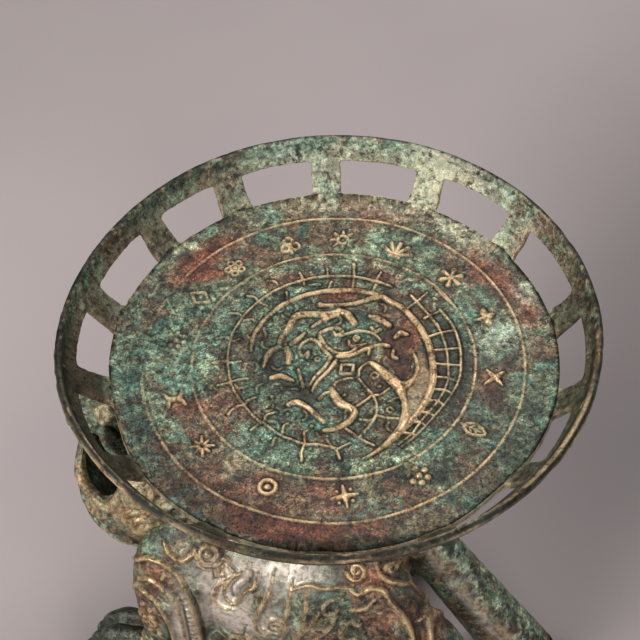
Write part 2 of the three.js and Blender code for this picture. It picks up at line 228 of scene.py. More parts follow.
class Nodes:
    def __init__(self, name):
        self.material = bpy.data.materials.new(name)
        self.material.use_nodes = True
        self.tree = self.material.node_tree
        self.tree.nodes.clear()
        self.out = self.new("ShaderNodeOutputMaterial")
        self.shader = self.new("ShaderNodeBsdfPrincipled")
        self.link(self.shader.outputs[0], self.out.inputs[0])
        place = self.new("ShaderNodeTexCoord")
        scale = self.new("ShaderNodeVectorMath")
        scale.operation = "SCALE"
        scale.inputs["Scale"].default_value = 1000.0
        self.link(place.outputs["Object"], scale.inputs[0])
        self.mm = scale.outputs[0]

    def new(self, kind):
        return self.tree.nodes.new(kind)

    def link(self, a, b):
        self.tree.links.new(a, b)

    def put(self, value, socket):
        if isinstance(value, bpy.types.NodeSocket):
            self.link(value, socket)
        else:
            socket.default_value = value

    def attr(self, name):
        n = self.new("ShaderNodeAttribute")
        n.attribute_name = name
        return n.outputs["Fac"]

    def noise(self, size, detail=3.0, rough=0.55, warp=0.0, shift=0.0):
        n = self.new("ShaderNodeTexNoise")
        n.inputs["Scale"].default_value = 1.0 / size
        n.inputs["Detail"].default_value = detail
        n.inputs["Roughness"].default_value = rough
        n.inputs["Distortion"].default_value = warp
        v = self.mm
        if shift:
            m = self.new("ShaderNodeVectorMath")
            m.operation = "ADD"
            self.link(v, m.inputs[0])
            m.inputs[1].default_value = (shift, shift * 1.7, shift * 0.6)
            v = m.outputs[0]
        self.link(v, n.inputs["Vector"])
        return n.outputs["Fac"]

    def cells(self, size, shift=0.0):
        n = self.new("ShaderNodeTexVoronoi")
        n.inputs["Scale"].default_value = 1.0 / size
        self.link(self.mm, n.inputs["Vector"])
        return n.outputs["Distance"]

    def step(self, value, lo, hi, out_lo=0.0, out_hi=1.0):
        n = self.new("ShaderNodeMapRange")
        n.interpolation_type = "SMOOTHSTEP"
        n.inputs["From Min"].default_value = lo
        n.inputs["From Max"].default_value = hi
        n.inputs["To Min"].default_value = out_lo
        n.inputs["To Max"].default_value = out_hi
        self.put(value, n.inputs["Value"])
        return n.outputs["Result"]

    def math(self, op, a, b=0.0, clamp=False):
        n = self.new("ShaderNodeMath")
        n.operation = op
        n.use_clamp = clamp
        self.put(a, n.inputs[0])
        self.put(b, n.inputs[1])
        return n.outputs[0]

    def mul(self, *values):
        out = values[0]
        for v in values[1:]:
            out = self.math("MULTIPLY", out, v)
        return out

    def add(self, a, b, clamp=False):
        return self.math("ADD", a, b, clamp)

    def mix(self, fac, a, b):
        n = self.new("ShaderNodeMix")
        n.data_type = "RGBA"
        self.put(fac, n.inputs[0])
        self.put(a if isinstance(a, bpy.types.NodeSocket) else linear(a), n.inputs[6])
        self.put(b if isinstance(b, bpy.types.NodeSocket) else linear(b), n.inputs[7])
        return n.outputs[2]

    def times(self, colour, value):
        n = self.new("ShaderNodeMix")
        n.data_type = "RGBA"
        n.blend_type = "MULTIPLY"
        n.inputs[0].default_value = 1.0
        self.link(colour, n.inputs[6])
        self.link(value, n.inputs[7])
        return n.outputs[2]

    def bump(self, height, distance, strength, normal=None):
        n = self.new("ShaderNodeBump")
        n.inputs["Strength"].default_value = strength
        n.inputs["Distance"].default_value = distance
        self.link(height, n.inputs["Height"])
        if normal is not None:
            self.link(normal, n.inputs["Normal"])
        return n.outputs[0]


DARK_GREEN = (38, 46, 36)
MID_GREEN = (88, 96, 75)
PALE_GREEN = (138, 150, 122)
TEAL = (82, 115, 98)
TURQUOISE = (150, 190, 164)
BROWN = (88, 67, 50)
BLACK = (22, 19, 15)
CUPRITE = (94, 50, 39)
TAN = (230, 197, 152)
DULL_TAN = (158, 126, 88)
OLIVE = (160, 142, 92)
PALE = (188, 184, 156)
FROST = (172, 190, 168)
# pale pinkish bare metal, used as well as a painted highlight
BARE_METAL_AND_HIGHLIGHT_COLOUR = (221, 212, 199)


def bronze(name, masks, green=1.0, crust=1.0, metal=0.15, depth=0.001, gold=False):
    """Old cast bronze: green and brown patina in broad patches, red where it is thin, bare metal on worn edges; some of
    that bare metal is a painted highlight.
    The small scale is light and dark more than colour."""
    n = Nodes(name)
    broad, middle = n.noise(22, 6, 0.60, 0.8), n.noise(8.5, 5, 0.62, 0.6, 40)
    small, fine = n.noise(2.8, 4, 0.60, 0.3, 90), n.noise(0.9, 3, 0.60, 0.0, 140)
    grain = n.noise(0.3, 2, 0.6, 0.0, 170)
    clump = n.add(n.mul(middle, 0.55), n.add(n.mul(small, 0.3), n.mul(fine, 0.15)))

    tone = n.add(n.mul(broad, 0.55), n.add(n.mul(middle, 0.3), n.mul(small, 0.15)))
    colour = n.mix(n.step(tone, 0.445, 0.505), DARK_GREEN, MID_GREEN)
    colour = n.mix(n.mul(n.step(tone, 0.53, 0.575), 0.8), colour, PALE_GREEN)
    colour = n.mix(n.mul(n.step(n.noise(30, 7, 0.60, 0.8, 60), 0.485, 0.535), 0.85), colour, BROWN)
    patch = n.mul(n.step(n.noise(15, 6, 0.62, 0.8, 220), 0.53, 0.57), 0.8)
    if "teal" in masks:
        patch = n.add(patch, n.mul(n.attr("teal"), n.step(clump, 0.44, 0.54)), True)
    colour = n.mix(n.mul(patch, 0.8 * green), colour, TEAL)
    if "red" in masks:
        red = n.mul(n.attr("red"), 1.3, n.step(n.add(clump, n.mul(n.attr("red"), 0.07)), 0.43, 0.51))
        colour = n.mix(n.math("MULTIPLY", red, 0.94, True), colour, n.mix(n.step(middle, 0.42, 0.56), CUPRITE, (112, 67, 47)))
    value = n.mul(n.step(n.noise(7, 3, 0.55, 0.4, 30), 0.35, 0.65, 0.50, 1.56), n.step(small, 0.34, 0.66, 0.46, 1.62), n.step(fine, 0.33, 0.67, 0.64, 1.38))
    if "busy" in masks:
        lively = n.mul(n.step(n.noise(1.1, 2, 0.6, 0.0, 340), 0.36, 0.64, 0.50, 1.62), n.step(n.noise(0.55, 1, 0.5, 0.0, 350), 0.34, 0.66, 0.66, 1.40))
        value = n.mul(value, n.add(n.mul(n.add(lively, -1.0), n.attr("busy")), 1.0))
    if "pale" in masks:
        pale = n.mul(n.attr("pale"), n.step(clump, 0.39, 0.51), 0.92)
        frost = n.mix(n.attr("teal"), PALE, FROST) if "teal" in masks else PALE
        colour = n.mix(pale, colour, frost)
        value = n.add(n.mul(n.add(value, -1.0), n.step(pale, 0.0, 1.0, 1.0, 0.38)), 1.0)
    colour = n.times(colour, value)
    speck = n.mul(n.step(n.noise(1.2, 2, 0.5, 0.0, 300), 0.63, 0.69), n.step(middle, 0.44, 0.56))
    colour = n.mix(n.mul(speck, 0.75 * green), colour, TURQUOISE)
    crumbs = n.mul(n.step(n.noise(1.9, 3, 0.6, 0.0, 510), 0.58, 0.64), n.step(n.noise(12, 4, 0.6, 0.5, 610), 0.50, 0.56))
    colour = n.mix(n.mul(crumbs, 0.6 * crust), colour, OLIVE)
    pits = n.mul(n.step(n.noise(1.5, 2, 0.5, 0.0, 410), 0.62, 0.68), 0.85)
    if "pale" in masks:
        pits = n.mul(pits, n.step(n.attr("pale"), 0.0, 0.5, 1.0, 0.25))
    colour = n.mix(pits, colour, BLACK)
    if "dark" in masks:
        colour = n.mix(n.mul(n.attr("dark"), n.step(middle, 0.22, 0.50), 0.94), colour, n.mix(n.step(small, 0.42, 0.62), (15, 13, 10), (40, 41, 31)))
    if "cav" in masks:
        colour = n.mix(n.mul(n.attr("cav"), n.step(fine, 0.25, 0.55, 0.6, 1.0)), colour, (24, 24, 17))
    wear_and_highlight = n.attr("wear_and_highlight")
    # the worn colour also paints the highlights that the lip and the tail carry in the wear channel
    rub_and_highlight = n.mul(wear_and_highlight, n.step(n.add(n.mul(middle, 0.3), n.add(n.mul(small, 0.45), n.mul(fine, 0.25))), *((0.31, 0.45) if gold else (0.36, 0.50))))
    worn = n.mix(n.step(clump, 0.40, 0.58), *(((122, 96, 66), (210, 182, 138)) if gold else (DULL_TAN, TAN)))
    colour = n.mix(n.mul(rub_and_highlight, 0.94), colour, n.times(worn, n.step(fine, 0.34, 0.66, 0.80, 1.16)))
    bare = rub_and_highlight
    relief = n.add(n.mul(small, 0.55), n.add(n.mul(fine, 0.36), n.mul(grain, 0.10)))
    relief = n.add(n.add(relief, n.mul(pits, -0.4)), n.mul(speck, 0.15))
    relief = n.mul(relief, n.step(rub_and_highlight, 0.1, 0.9, 1.0, 0.42))
    # bare polished metal and a painted highlight: a pale pinkish colour where the flank and the tail catch the key
    # light
    if "shine" in masks:
        bright = n.mul(n.attr("shine"), n.step(clump, 0.14, 0.36))
        bright = n.math("MULTIPLY", bright, 1.5, True)
        bright = n.mul(bright, n.step(wear_and_highlight, 0.15, 0.75, 1.0, 0.1))
        bright = n.mul(bright, n.step(n.attr("cav"), 0.2, 0.8, 1.0, 0.1))
        colour = n.mix(n.mul(bright, 0.94), colour, n.mix(n.step(small, 0.34, 0.60), (184, 171, 153), BARE_METAL_AND_HIGHLIGHT_COLOUR))
        bare = n.add(bare, n.mul(bright, 1.6), True)
        relief = n.mul(relief, n.step(bright, 0.1, 0.9, 1.0, 0.3))
    n.link(colour, n.shader.inputs["Base Color"])
    n.link(n.add(metal, n.mul(bare, 0.42 if gold else 0.3), True), n.shader.inputs["Metallic"])
    rough = n.add(n.step(small, 0.3, 0.7, 0.30, 0.56), n.mul(bare, -0.06))
    if "cav" in masks:
        dull = n.mul(n.attr("cav"), n.step(rub_and_highlight, 0.1, 0.6, 1.0, 0.0))
        rough = n.add(rough, n.mul(dull, 0.22))
        n.link(n.step(dull, 0.0, 1.0, 0.5, 0.12), n.shader.inputs["Specular IOR Level"])
    n.link(n.add(rough, n.mul(fine, 0.06)), n.shader.inputs["Roughness"])
    n.link(n.bump(relief, depth, 1.0), n.shader.inputs["Normal"])
    return n.material


# ---------------------------------------------------------------- tray dish

FLOOR_Z, FLOOR_R, FLOOR_T = 240.0, 110.0, 4.0
WALL_T = 3.6
EDGE_Z = 0.7  # the floor's edge turns up this much into the wall
TOP_R, TOP_Z = 123.5, 18.2  # inner face of the wall, under the lip
LIP_R, LIP_Z, LIP_BEAD = 126.9, 23.4, 2.7
POSTS = [23.5, 51.5, 78.2, 103.9, 129.1, 152.1, 176.8, 200.9, 226.1, 253.0, 280.0, 307.0, 333.9, 358.3]
STEPS = 900
MIDDLE = 12.097  # middle medallion is drawn in cells of 1/12.097 mm from its lower left


def medallion(px):
    return [((x - 750) / MIDDLE, (750 - y) / MIDDLE) for x, y in px]


def floor_relief():
    r = Relief((-112, -112), (112, 112), 0.16)

    def m(points, width, high=1.0, closed=False, sharp=False):
        w = np.asarray(width, float) / MIDDLE
        r.line(medallion(points), w, high, closed, sharp)

    # inner border ring, scale band and its ticks
    m([(270, 640), (270, 610), (285, 540), (305, 490), (340, 430), (390, 370), (450, 310), (520, 270), (600, 235), (690, 215),
       (780, 208), (880, 212), (980, 235), (1065, 275), (1120, 320), (1180, 370), (1230, 440), (1275, 520), (1305, 600), (1325, 680),
       (1335, 770), (1335, 860), (1325, 950), (1290, 1050), (1240, 1140), (1170, 1230), (1100, 1300), (1020, 1370), (960, 1420), (890, 1460)],
      [10, 22, 24, 26, 26, 28, 30, 30, 32, 36, 36, 34, 30, 22, 10], 0.85)
    m([(1125, 195), (1070, 165), (1000, 135), (920, 108), (840, 97), (750, 92), (660, 97), (580, 115), (500, 145), (430, 180), (380, 215),
       (330, 255), (285, 300), (235, 360), (200, 420), (170, 480), (150, 545), (135, 620), (130, 700), (135, 780), (145, 860), (165, 930),
       (195, 990), (225, 1040), (260, 1100), (300, 1150), (340, 1180), (390, 1230), (440, 1275), (490, 1300), (560, 1335), (640, 1345),
       (720, 1370), (750, 1380)], [14, 14, 12, 10, 9, 9, 10, 11], 0.75)
    m([(880, 1310), (950, 1220), (985, 1160), (990, 1080), (970, 1010), (930, 950), (890, 880)], 11, 0.75)
    m([(1240, 275), (1275, 330), (1340, 440), (1390, 540), (1415, 640), (1425, 720), (1425, 800), (1420, 900), (1390, 1000), (1330, 1100),
       (1250, 1200), (1180, 1300), (1100, 1370)], [12, 11, 10, 9, 8, 7], 0.65)
    m([(1405, 395), (1455, 480), (1485, 560), (1500, 640), (1506, 720), (1502, 800), (1488, 900), (1455, 985), (1400, 1075),
       (1332, 1165), (1262, 1250), (1190, 1325), (1120, 1385)], [12, 11, 10, 9, 9, 8, 7, 6], 0.55)
    for tick in (
        [(575, 50), (595, 110), (600, 150)], [(745, 30), (745, 90)], [(765, 140), (745, 195)], [(910, 0), (905, 100), (890, 200)],
        [(1070, 80), (1035, 150)], [(1035, 180), (1010, 235)], [(380, 100), (420, 110), (440, 140)], [(255, 215), (300, 230), (325, 270), (370, 300)],
        [(490, 205), (495, 265)], [(140, 345), (195, 350), (230, 380)], [(230, 405), (280, 400), (300, 420)], [(65, 530), (130, 525), (160, 560), (205, 545)],
        [(40, 715), (110, 705), (140, 720), (210, 715)], [(70, 885), (130, 870), (190, 850), (245, 845)],
        [(130, 1095), (170, 1050), (225, 1035), (245, 1005), (290, 985)], [(260, 1215), (300, 1185), (335, 1160), (350, 1120), (410, 1100)],
        [(380, 1330), (390, 1295), (400, 1280)], [(440, 1250), (450, 1200), (475, 1185)], [(545, 1450), (545, 1390), (565, 1330), (565, 1260), (580, 1245)],
        [(760, 1450), (745, 1390), (720, 1365), (690, 1310)], [(745, 1385), (825, 1345)], [(805, 1245), (860, 1295), (910, 1340), (960, 1370)],
        [(890, 1185), (960, 1190), (985, 1160), (1040, 1180), (1110, 1190)], [(880, 1085), (940, 1040), (970, 1015), (1020, 1010), (1070, 970)],
        [(740, 960), (760, 910), (820, 885), (890, 880), (905, 820), (950, 775), (985, 770)],
        [(1205, 385), (1275, 325), (1340, 260)], [(1310, 460), (1345, 440), (1410, 405)], [(1330, 600), (1400, 575), (1480, 558)],
        [(1345, 705), (1500, 695)], [(1350, 805), (1500, 825)], [(1345, 905), (1415, 912), (1470, 945)], [(1318, 992), (1390, 1000), (1432, 1030)],
        [(1280, 1070), (1345, 1078), (1378, 1110)], [(1232, 1150), (1290, 1160), (1318, 1186)], [(1180, 1222), (1235, 1222), (1262, 1252)], [(1120, 1290), (1180, 1300), (1200, 1318)],
        [(1395, 225), (1440, 300), (1500, 380)], [(1375, 305), (1392, 318)], [(1378, 500), (1390, 520)],
    ):
        m(tick, [12, 10, 8], 0.75)

    # the beast in the middle: sickle, claws, beak, hooks and head
    m([(975, 780), (1010, 810), (1050, 860), (1090, 910), (1130, 960)], [20, 34, 48, 62, 66], 1.25)
    m([(1130, 960), (1190, 940), (1232, 892), (1246, 830), (1240, 770), (1222, 715)], [58, 40, 26, 18, 14, 8], 1.0)
    m([(1130, 960), (1145, 1040), (1155, 1120), (1150, 1200), (1120, 1270), (1060, 1340), (1000, 1390), (930, 1445)],
      [62, 34, 32, 56, 52, 38, 22, 7], 1.25)
    m([(690, 315), (720, 322), (760, 320), (880, 320), (960, 300), (1060, 270)], [34, 24, 16, 24, 30, 34], 0.9)
    m([(790, 385), (720, 395), (640, 385), (545, 395), (500, 480), (460, 540), (440, 590)], [44, 46, 40, 42, 38, 30, 22], 1.1)
    m([(770, 400), (700, 440), (640, 480)], [30, 24, 16], 0.9)
    m([(800, 370), (850, 400), (890, 470)], [40, 44, 34], 1.0)
    m([(440, 620), (390, 650), (355, 710), (340, 770)], [30, 34, 28, 12], 1.1)
    m([(480, 640), (495, 690), (490, 745)], [30, 38, 26], 1.1)
    m([(590, 530), (540, 580), (510, 600)], [14, 28, 24], 0.9)
    m([(385, 850), (440, 840), (480, 860), (510, 880)], [24, 34, 24, 14], 1.0)
    m([(600, 710), (610, 670), (575, 700), (555, 660), (570, 610), (625, 575), (665, 600), (700, 660), (740, 715)], 16, 0.8)
    m([(740, 715), (700, 790), (640, 860), (600, 930)], [18, 18, 14, 8], 0.8)
    m([(770, 745), (720, 820), (650, 900), (620, 960)], [18, 18, 14, 8], 0.8)
    m([(545, 800), (560, 880), (570, 930)], [14, 12, 8], 0.6)
    m([(685, 600), (680, 540), (720, 510), (780, 500), (815, 530), (780, 555), (765, 530)], [14, 18, 20, 18, 16, 12], 0.8)
    m([(800, 560), (870, 540), (930, 530), (1000, 560), (1040, 610)], [16, 15, 13, 10], 0.8)
    m([(685, 560), (720, 640), (780, 690), (850, 690), (890, 660)], [14, 16, 16, 12], 0.8)
    m([(877, 585), (895, 567), (913, 585), (895, 603)], 9, 0.7, closed=True)
    r.dot(*medallion([(895, 585)])[0], 7 / MIDDLE, 0.8)
    m([(850, 600), (860, 640), (900, 640), (950, 630)], [12, 14, 12, 8], 0.7)
    m([(780, 715), (860, 710), (950, 670), (1030, 645), (1090, 655)], [20, 20, 18, 16, 14], 1.0)
    m([(970, 680), (960, 720)], [14, 10], 0.8)
    m([(800, 780), (870, 785), (860, 850), (790, 845)], 14, 0.8, closed=True, sharp=True)
    m([(990, 510), (1010, 545), (1040, 530)], 18, 0.7)
    m([(985, 425), (1040, 450), (1095, 500)], [22, 40, 30], 1.0)
    m([(830, 380), (870, 440), (890, 480)], 22, 0.8)
    m([(735, 950), (750, 1000), (780, 1060), (840, 1100), (860, 1140), (820, 1200), (750, 1240), (680, 1250)],
      [24, 40, 50, 38, 34, 32, 28, 20], 1.15)
    m([(480, 1050), (530, 1040), (590, 1080), (640, 1140), (680, 1190)], [26, 34, 26, 26, 22], 1.0)
    m([(660, 1020), (690, 985), (720, 975)], [16, 14, 12], 0.7)
    for x, y, q in ((990, 870, 22), (1065, 1125, 18), (660, 730, 15)):
        m([(x - q, y), (x, y - q), (x + q, y), (x, y + q)], 9, 0.55, closed=True)
    m([(1130, 590), (1160, 560), (1200, 575)], [24, 30, 16], 0.7)
    m([(1110, 690), (1105, 730), (1130, 750)], [14, 14, 10], 0.7)

    # low curls and beads in the ground, where the larger lines leave room
    for i in range(130):
        a, q = 2.39996 * i, 50.0 * math.sqrt((i + 0.5) / 130)
        x, y = q * math.cos(a), q * math.sin(a)
        if r.at(np.array([x]), np.array([y]))[0] > -2.3 or (30 < x < 60 and -45 < y < 30):
            continue
        b = 1.9 * i
        if i % 4 == 3:
            r.dot(x, y, 0.75, 0.42)
        elif i % 4 == 1:
            r.line([(x + k * math.cos(b) - 0.9 * math.sin(2.1 * k) * math.sin(b), y + k * math.sin(b) + 0.9 * math.sin(2.1 * k) * math.cos(b)) for k in (-2.8, -1.4, 0, 1.4, 2.8)], [0.5, 1.0, 1.0, 0.5], 0.44)
        else:
            c, e = math.cos(b), math.sin(b)
            r.line([(x + c * k - e * h, y + e * k + c * h) for k, h in ((-2.9, -0.9), (-1.3, 0.3), (0.4, 0.7), (1.8, 0.1), (2.9, -1.2))], [0.4, 0.9, 1.2, 0.6], 0.44)

    # smooth leaf between the sickle and the ring
    r.leaf = Relief((10, -56), (62, 24), 0.3)
    r.leaf.line(medallion([(1268, 800), (1268, 880), (1252, 960), (1228, 1040), (1196, 1130), (1160, 1220)]), np.array([40, 90, 120, 130, 90, 20]) / MIDDLE, 1.0)
    r.leaf.line(medallion([(1190, 700), (1240, 720), (1270, 790)]), np.array([30, 60, 60]) / MIDDLE, 1.0)

    # sunk field in the sickle's bend
    r.hollow = Relief((16, -18), (46, 26), 0.3)
    r.hollow.line(medallion([(1085, 575), (1130, 540), (1185, 560)]), np.array([60, 80, 60]) / MIDDLE, 1.0)
    r.hollow.line(medallion([(1120, 600), (1140, 680), (1150, 760), (1160, 830), (1165, 872)]), np.array([110, 130, 130, 120, 70]) / MIDDLE, 1.0)

    # small plain ornaments between the two circles
    def at(angle, radius=79.0, twist=0.0):
        a = math.radians(angle)
        c, s = math.cos(a + twist - math.pi / 2), math.sin(a + twist - math.pi / 2)
        ox, oy = radius * math.cos(a), radius * math.sin(a)
        return lambda pts: [(ox + c * x - s * y, oy + s * x + c * y) for x, y in pts]

    def ring(t, x, y, q, width, high=0.9):
        r.line(t([(x + q * math.cos(k * math.pi / 4), y + q * math.sin(k * math.pi / 4)) for k in range(8)]), width, high, closed=True)

    def dots(t, pts, half, high=0.9):
        for p in t(pts):
            r.dot(p[0], p[1], half, high)

    def polar(k, count, q, start=0.0):
        a = start + 2 * math.pi * k / count
        return (q * math.cos(a), q * math.sin(a))

    t = at(84)
    ring(t, 0, 0, 2.6, 1.4, 0.95)
    for k in range(8):
        r.line(t([polar(k, 8, 4.4), polar(k, 8, 6.2)]), [1.3, 0.8], 0.9)
    t = at(63)
    for k in range(5):
        a = math.radians(90 + 32 * (k - 2))
        r.line(t([(1.2 * math.cos(a), -4.6 + 1.2 * math.sin(a)), (5.2 * math.cos(a), -4.6 + 5.2 * math.sin(a)), (8.6 * math.cos(a), -4.6 + 8.6 * math.sin(a))]), [0.8, 1.5, 1.9], 0.95)
    r.line(t([(-2.6, -5.2), (2.6, -5.2)]), 1.3, 0.9)
    t = at(39)
    for k in range(6):
        r.line(t([polar(k, 6, 1.6), polar(k, 6, 5.2)]), [1.0, 2.3], 0.95)
    dots(t, [(0, 0)], 1.2)
    t = at(17)
    for k in range(3):
        a = math.pi / 2 + (k - 1) * 1.25
        c, s = math.cos(a), math.sin(a)
        r.line(t([(0.6 * c, 0.6 * s), (3.2 * c, 3.2 * s), (5.6 * c, 5.6 * s)]), [0.8, 3.2, 0.6], 0.95)
    r.line(t([(0, 0), (0.4, -2.4), (0, -5.2)]), [1.2, 1.2, 0.8], 0.9)
    t = at(-10.6)
    for k in range(4):
        r.line(t([(0, 0), polar(k, 4, 6.0, math.pi / 4)]), [2.6, 0.5], 1.0)
    t = at(-34.4)
    r.line(t([(0, -5.4), (-2.9, -2.0), (-2.7, 2.2), (0, 6.0), (2.7, 2.2), (2.9, -2.0)]), 1.2, 0.95, closed=True)
    r.line(t([(0, -6.8), (0, 3.4)]), [1.1, 0.6], 0.8)
    for y in (-2.2, 0.6):
        for s in (-1, 1):
            r.line(t([(0, y), (s * 1.8, y + 1.4)]), [0.8, 0.5], 0.7)
    t = at(-61.8)
    dots(t, [polar(k, 6, 4.3, 0.3) for k in range(6)], 1.35, 1.0)
    dots(t, [(0, 0)], 1.5, 1.0)
    t = at(-88.3)
    for k in range(4):
        r.line(t([(0, 0), polar(k, 4, 6.4, 0.12)]), [2.6, 0.6], 1.0)
    dots(t, [polar(k, 4, 4.6, 0.12 + math.pi / 4) for k in range(4)], 0.65)
    t = at(-115)
    ring(t, 0, 0, 3.9, 1.5, 1.0)
    dots(t, [(0, 0)], 1.3)
    t = at(-144)
    for k in range(8):
        r.line(t([polar(k, 8, 1.8, 0.2), polar(k, 8, 5.8 if k % 2 else 4.6, 0.2)]), [1.5, 0.7], 0.95)
    ring(t, 0, 0, 1.9, 1.0, 0.9)
    t = at(-167)
    for s in (-1, 1):
        r.line(t([(s * 4.8, 4.6), (s * 1.0, 2.6), (s * 0.6, -2.4), (s * 4.8, -4.4)]), [0.8, 1.9, 1.9, 0.8], 0.95)
    t = at(166)
    dots(t, [polar(k, 7, 4.4) for k in range(7)], 0.95, 0.7)
    dots(t, [(0, 0)], 1.4, 0.7)
    t = at(145)
    r.line(t([(0, 5.4), (4.0, 0), (0, -5.4), (-4.0, 0)]), 1.1, 0.6, closed=True, sharp=True)
    dots(t, [(0, 0)], 1.1, 0.6)
    t = at(126.6)
    for k in range(5):
        ring(t, *polar(k, 5, 3.5, math.pi / 2), 1.55, 1.0, 0.8)
    dots(t, [(0, 0)], 1.1, 0.8)
    t = at(104)
    for k in range(3):
        ring(t, *polar(k, 3, 2.9, math.pi / 2), 2.2, 1.2, 0.85)
    r.line(t([(0, -0.5), (0, -5.6)]), [1.3, 0.8], 0.85)
    return r


def blob(x, y, cx, cy, sx, sy, turn=0.0):
    a = math.radians(turn)
    dx, dy = x - cx, y - cy
    u, v = dx * math.cos(a) + dy * math.sin(a), -dx * math.sin(a) + dy * math.cos(a)
    return np.exp(-((u / sx) ** 2) - (v / sy) ** 2)


def arc_band(ang, rad, mid, spread, r0, r1, soft=3.0):
    d = (np.degrees(ang) - mid + 180) % 360 - 180
    return np.exp(-((d / spread) ** 2)) * smoothstep(r0 - soft, r0 + soft, rad) * (1 - smoothstep(r1 - soft, r1 + soft, rad))


def tray_masks(x, y, rad, ang):
    """Where the tray is red, teal, pale or dark, with painted shade on the rim and a painted glint on the scale band;
    x, y and ang are square to the camera.
    """
    p = flat3(x, y)
    warp = 5 * lumps(p, 14, 3)
    u, v = x + warp, y + 5 * lumps(p, 14, 8)
    red = (
        0.9 * blob(u, v, -62, 72, 26, 9, 45)
        + 0.7 * blob(u, v, -60, 61, 9, 5)
        + 0.9 * blob(u, v, 82, 50, 26, 9, -60)
        + 0.7 * blob(u, v, 99, 22, 6, 9)
        + 0.75 * blob(u, v, 26, 97, 30, 6, -15)
        + 1.0 * arc_band(ang, rad, -104, 26, 95, 108)
        + 0.55 * arc_band(ang, rad, -112, 34, 70, 96)
        + 0.55 * blob(u, v, -55, -30, 8, 18, 25)
        + 0.55 * blob(u, v, -72, -24, 10, 6)
        + 0.7 * blob(u, v, 31, 12, 9, 17, -8)
        + 0.8 * blob(u, v, 38, 11, 7, 15)
        + 1.1 * blob(u, v, 8, 41.5, 13, 3.6, 2)
        + 0.7 * blob(u, v, -22, 55, 16, 5, 25)
        + 0.7 * blob(u, v, 30, 52, 9, 5, -35)
        + 0.5 * blob(u, v, 74, -18, 9, 16)
    )
    teal = (
        0.7 * blob(u, v, -78, 8, 24, 34)
        + 0.6 * blob(u, v, -20, -45, 40, 14, 10)
        + 0.55 * blob(u, v, -8, 6, 26, 26)
        + 0.6 * blob(u, v, -52, 32, 12, 18)
        + 0.3 * arc_band(ang, rad, -50, 30, 96, 130)
        + 0.7 * blob(u, v, -60, -92, 16, 10, -40)
        + 0.5 * blob(u, v, 60, -45, 14, 20)
    )
    deg = np.degrees(ang)
    rim = smoothstep(108, 113, rad)

    def sector(mid, spread):
        return np.exp(-((((deg - mid + 180) % 360 - 180) / spread) ** 2))

    pale = (
        0.8 * blob(u, v, 84, 12, 10, 9)
        + 0.55 * blob(u, v, 98, 40, 5, 8)
        + 0.5 * blob(u, v, 76, 78, 12, 10)
        + 0.25 * blob(u, v, 70, 92, 30, 14, -40)
        # painted glint on the scale band at the lower right
        + 0.3 * blob(u, v, 44, -30, 6, 14, -20)
        + rim * (0.65 * sector(62, 7) + 0.24 * sector(46, 14) + 0.34 * sector(82, 16) + 0.22 * sector(105, 16))
        + 0.3 * arc_band(ang, rad, 78, 26, 98, 112)
    )
    dark = (
        0.6 * arc_band(ang, rad, 2, 42, 46, 64, 2.0)
        + 0.22 * (1 - smoothstep(50, 66, rad))
        + 0.75 * arc_band(ang, rad, -8, 28, 63.5, 67.5, 1.0)
        + 0.35 * arc_band(ang, rad, -118, 40, 90, 108)
        + 0.42 * blob(u, v, 68, -40, 24, 32)
        + 0.35 * arc_band(ang, rad, -48, 30, 94, 110)
        + 0.9 * blob(u, v, -33, 0, 7, 12)
        + 0.7 * blob(u, v, -16, -20, 7, 10)
        + 0.5 * blob(u, v, 12, -6, 6, 6)
        # dark patina and painted shade on the rim, darkest where its walls face away from the key light
        + rim * (0.35 * sector(118, 12) + 0.55 * sector(140, 18) + 0.9 * sector(182, 26) + 0.85 * sector(222, 26) + 0.75 * sector(262, 26) + 0.8 * sector(306, 26) + 0.6 * sector(340, 20) + 0.55 * sector(8, 12))
    )
    red = red + rim * (0.6 * sector(54, 5) + 0.5 * sector(30, 5) + 0.1 * sector(345, 18))
    teal = teal + 0.8 * blob(u, v, 84, 12, 14, 12) + 0.7 * blob(u, v, 97, 40, 8, 11)
    teal = teal + rim * (0.75 * sector(98, 18) + 0.5 * sector(72, 10) + 0.5 * sector(52, 8) + 0.7 * sector(38, 10) + 0.5 * sector(150, 20) + 0.4 * sector(20, 12))
    return {k: np.clip(q, 0, 1) for k, q in (("red", red), ("teal", teal), ("pale", pale), ("dark", dark))}


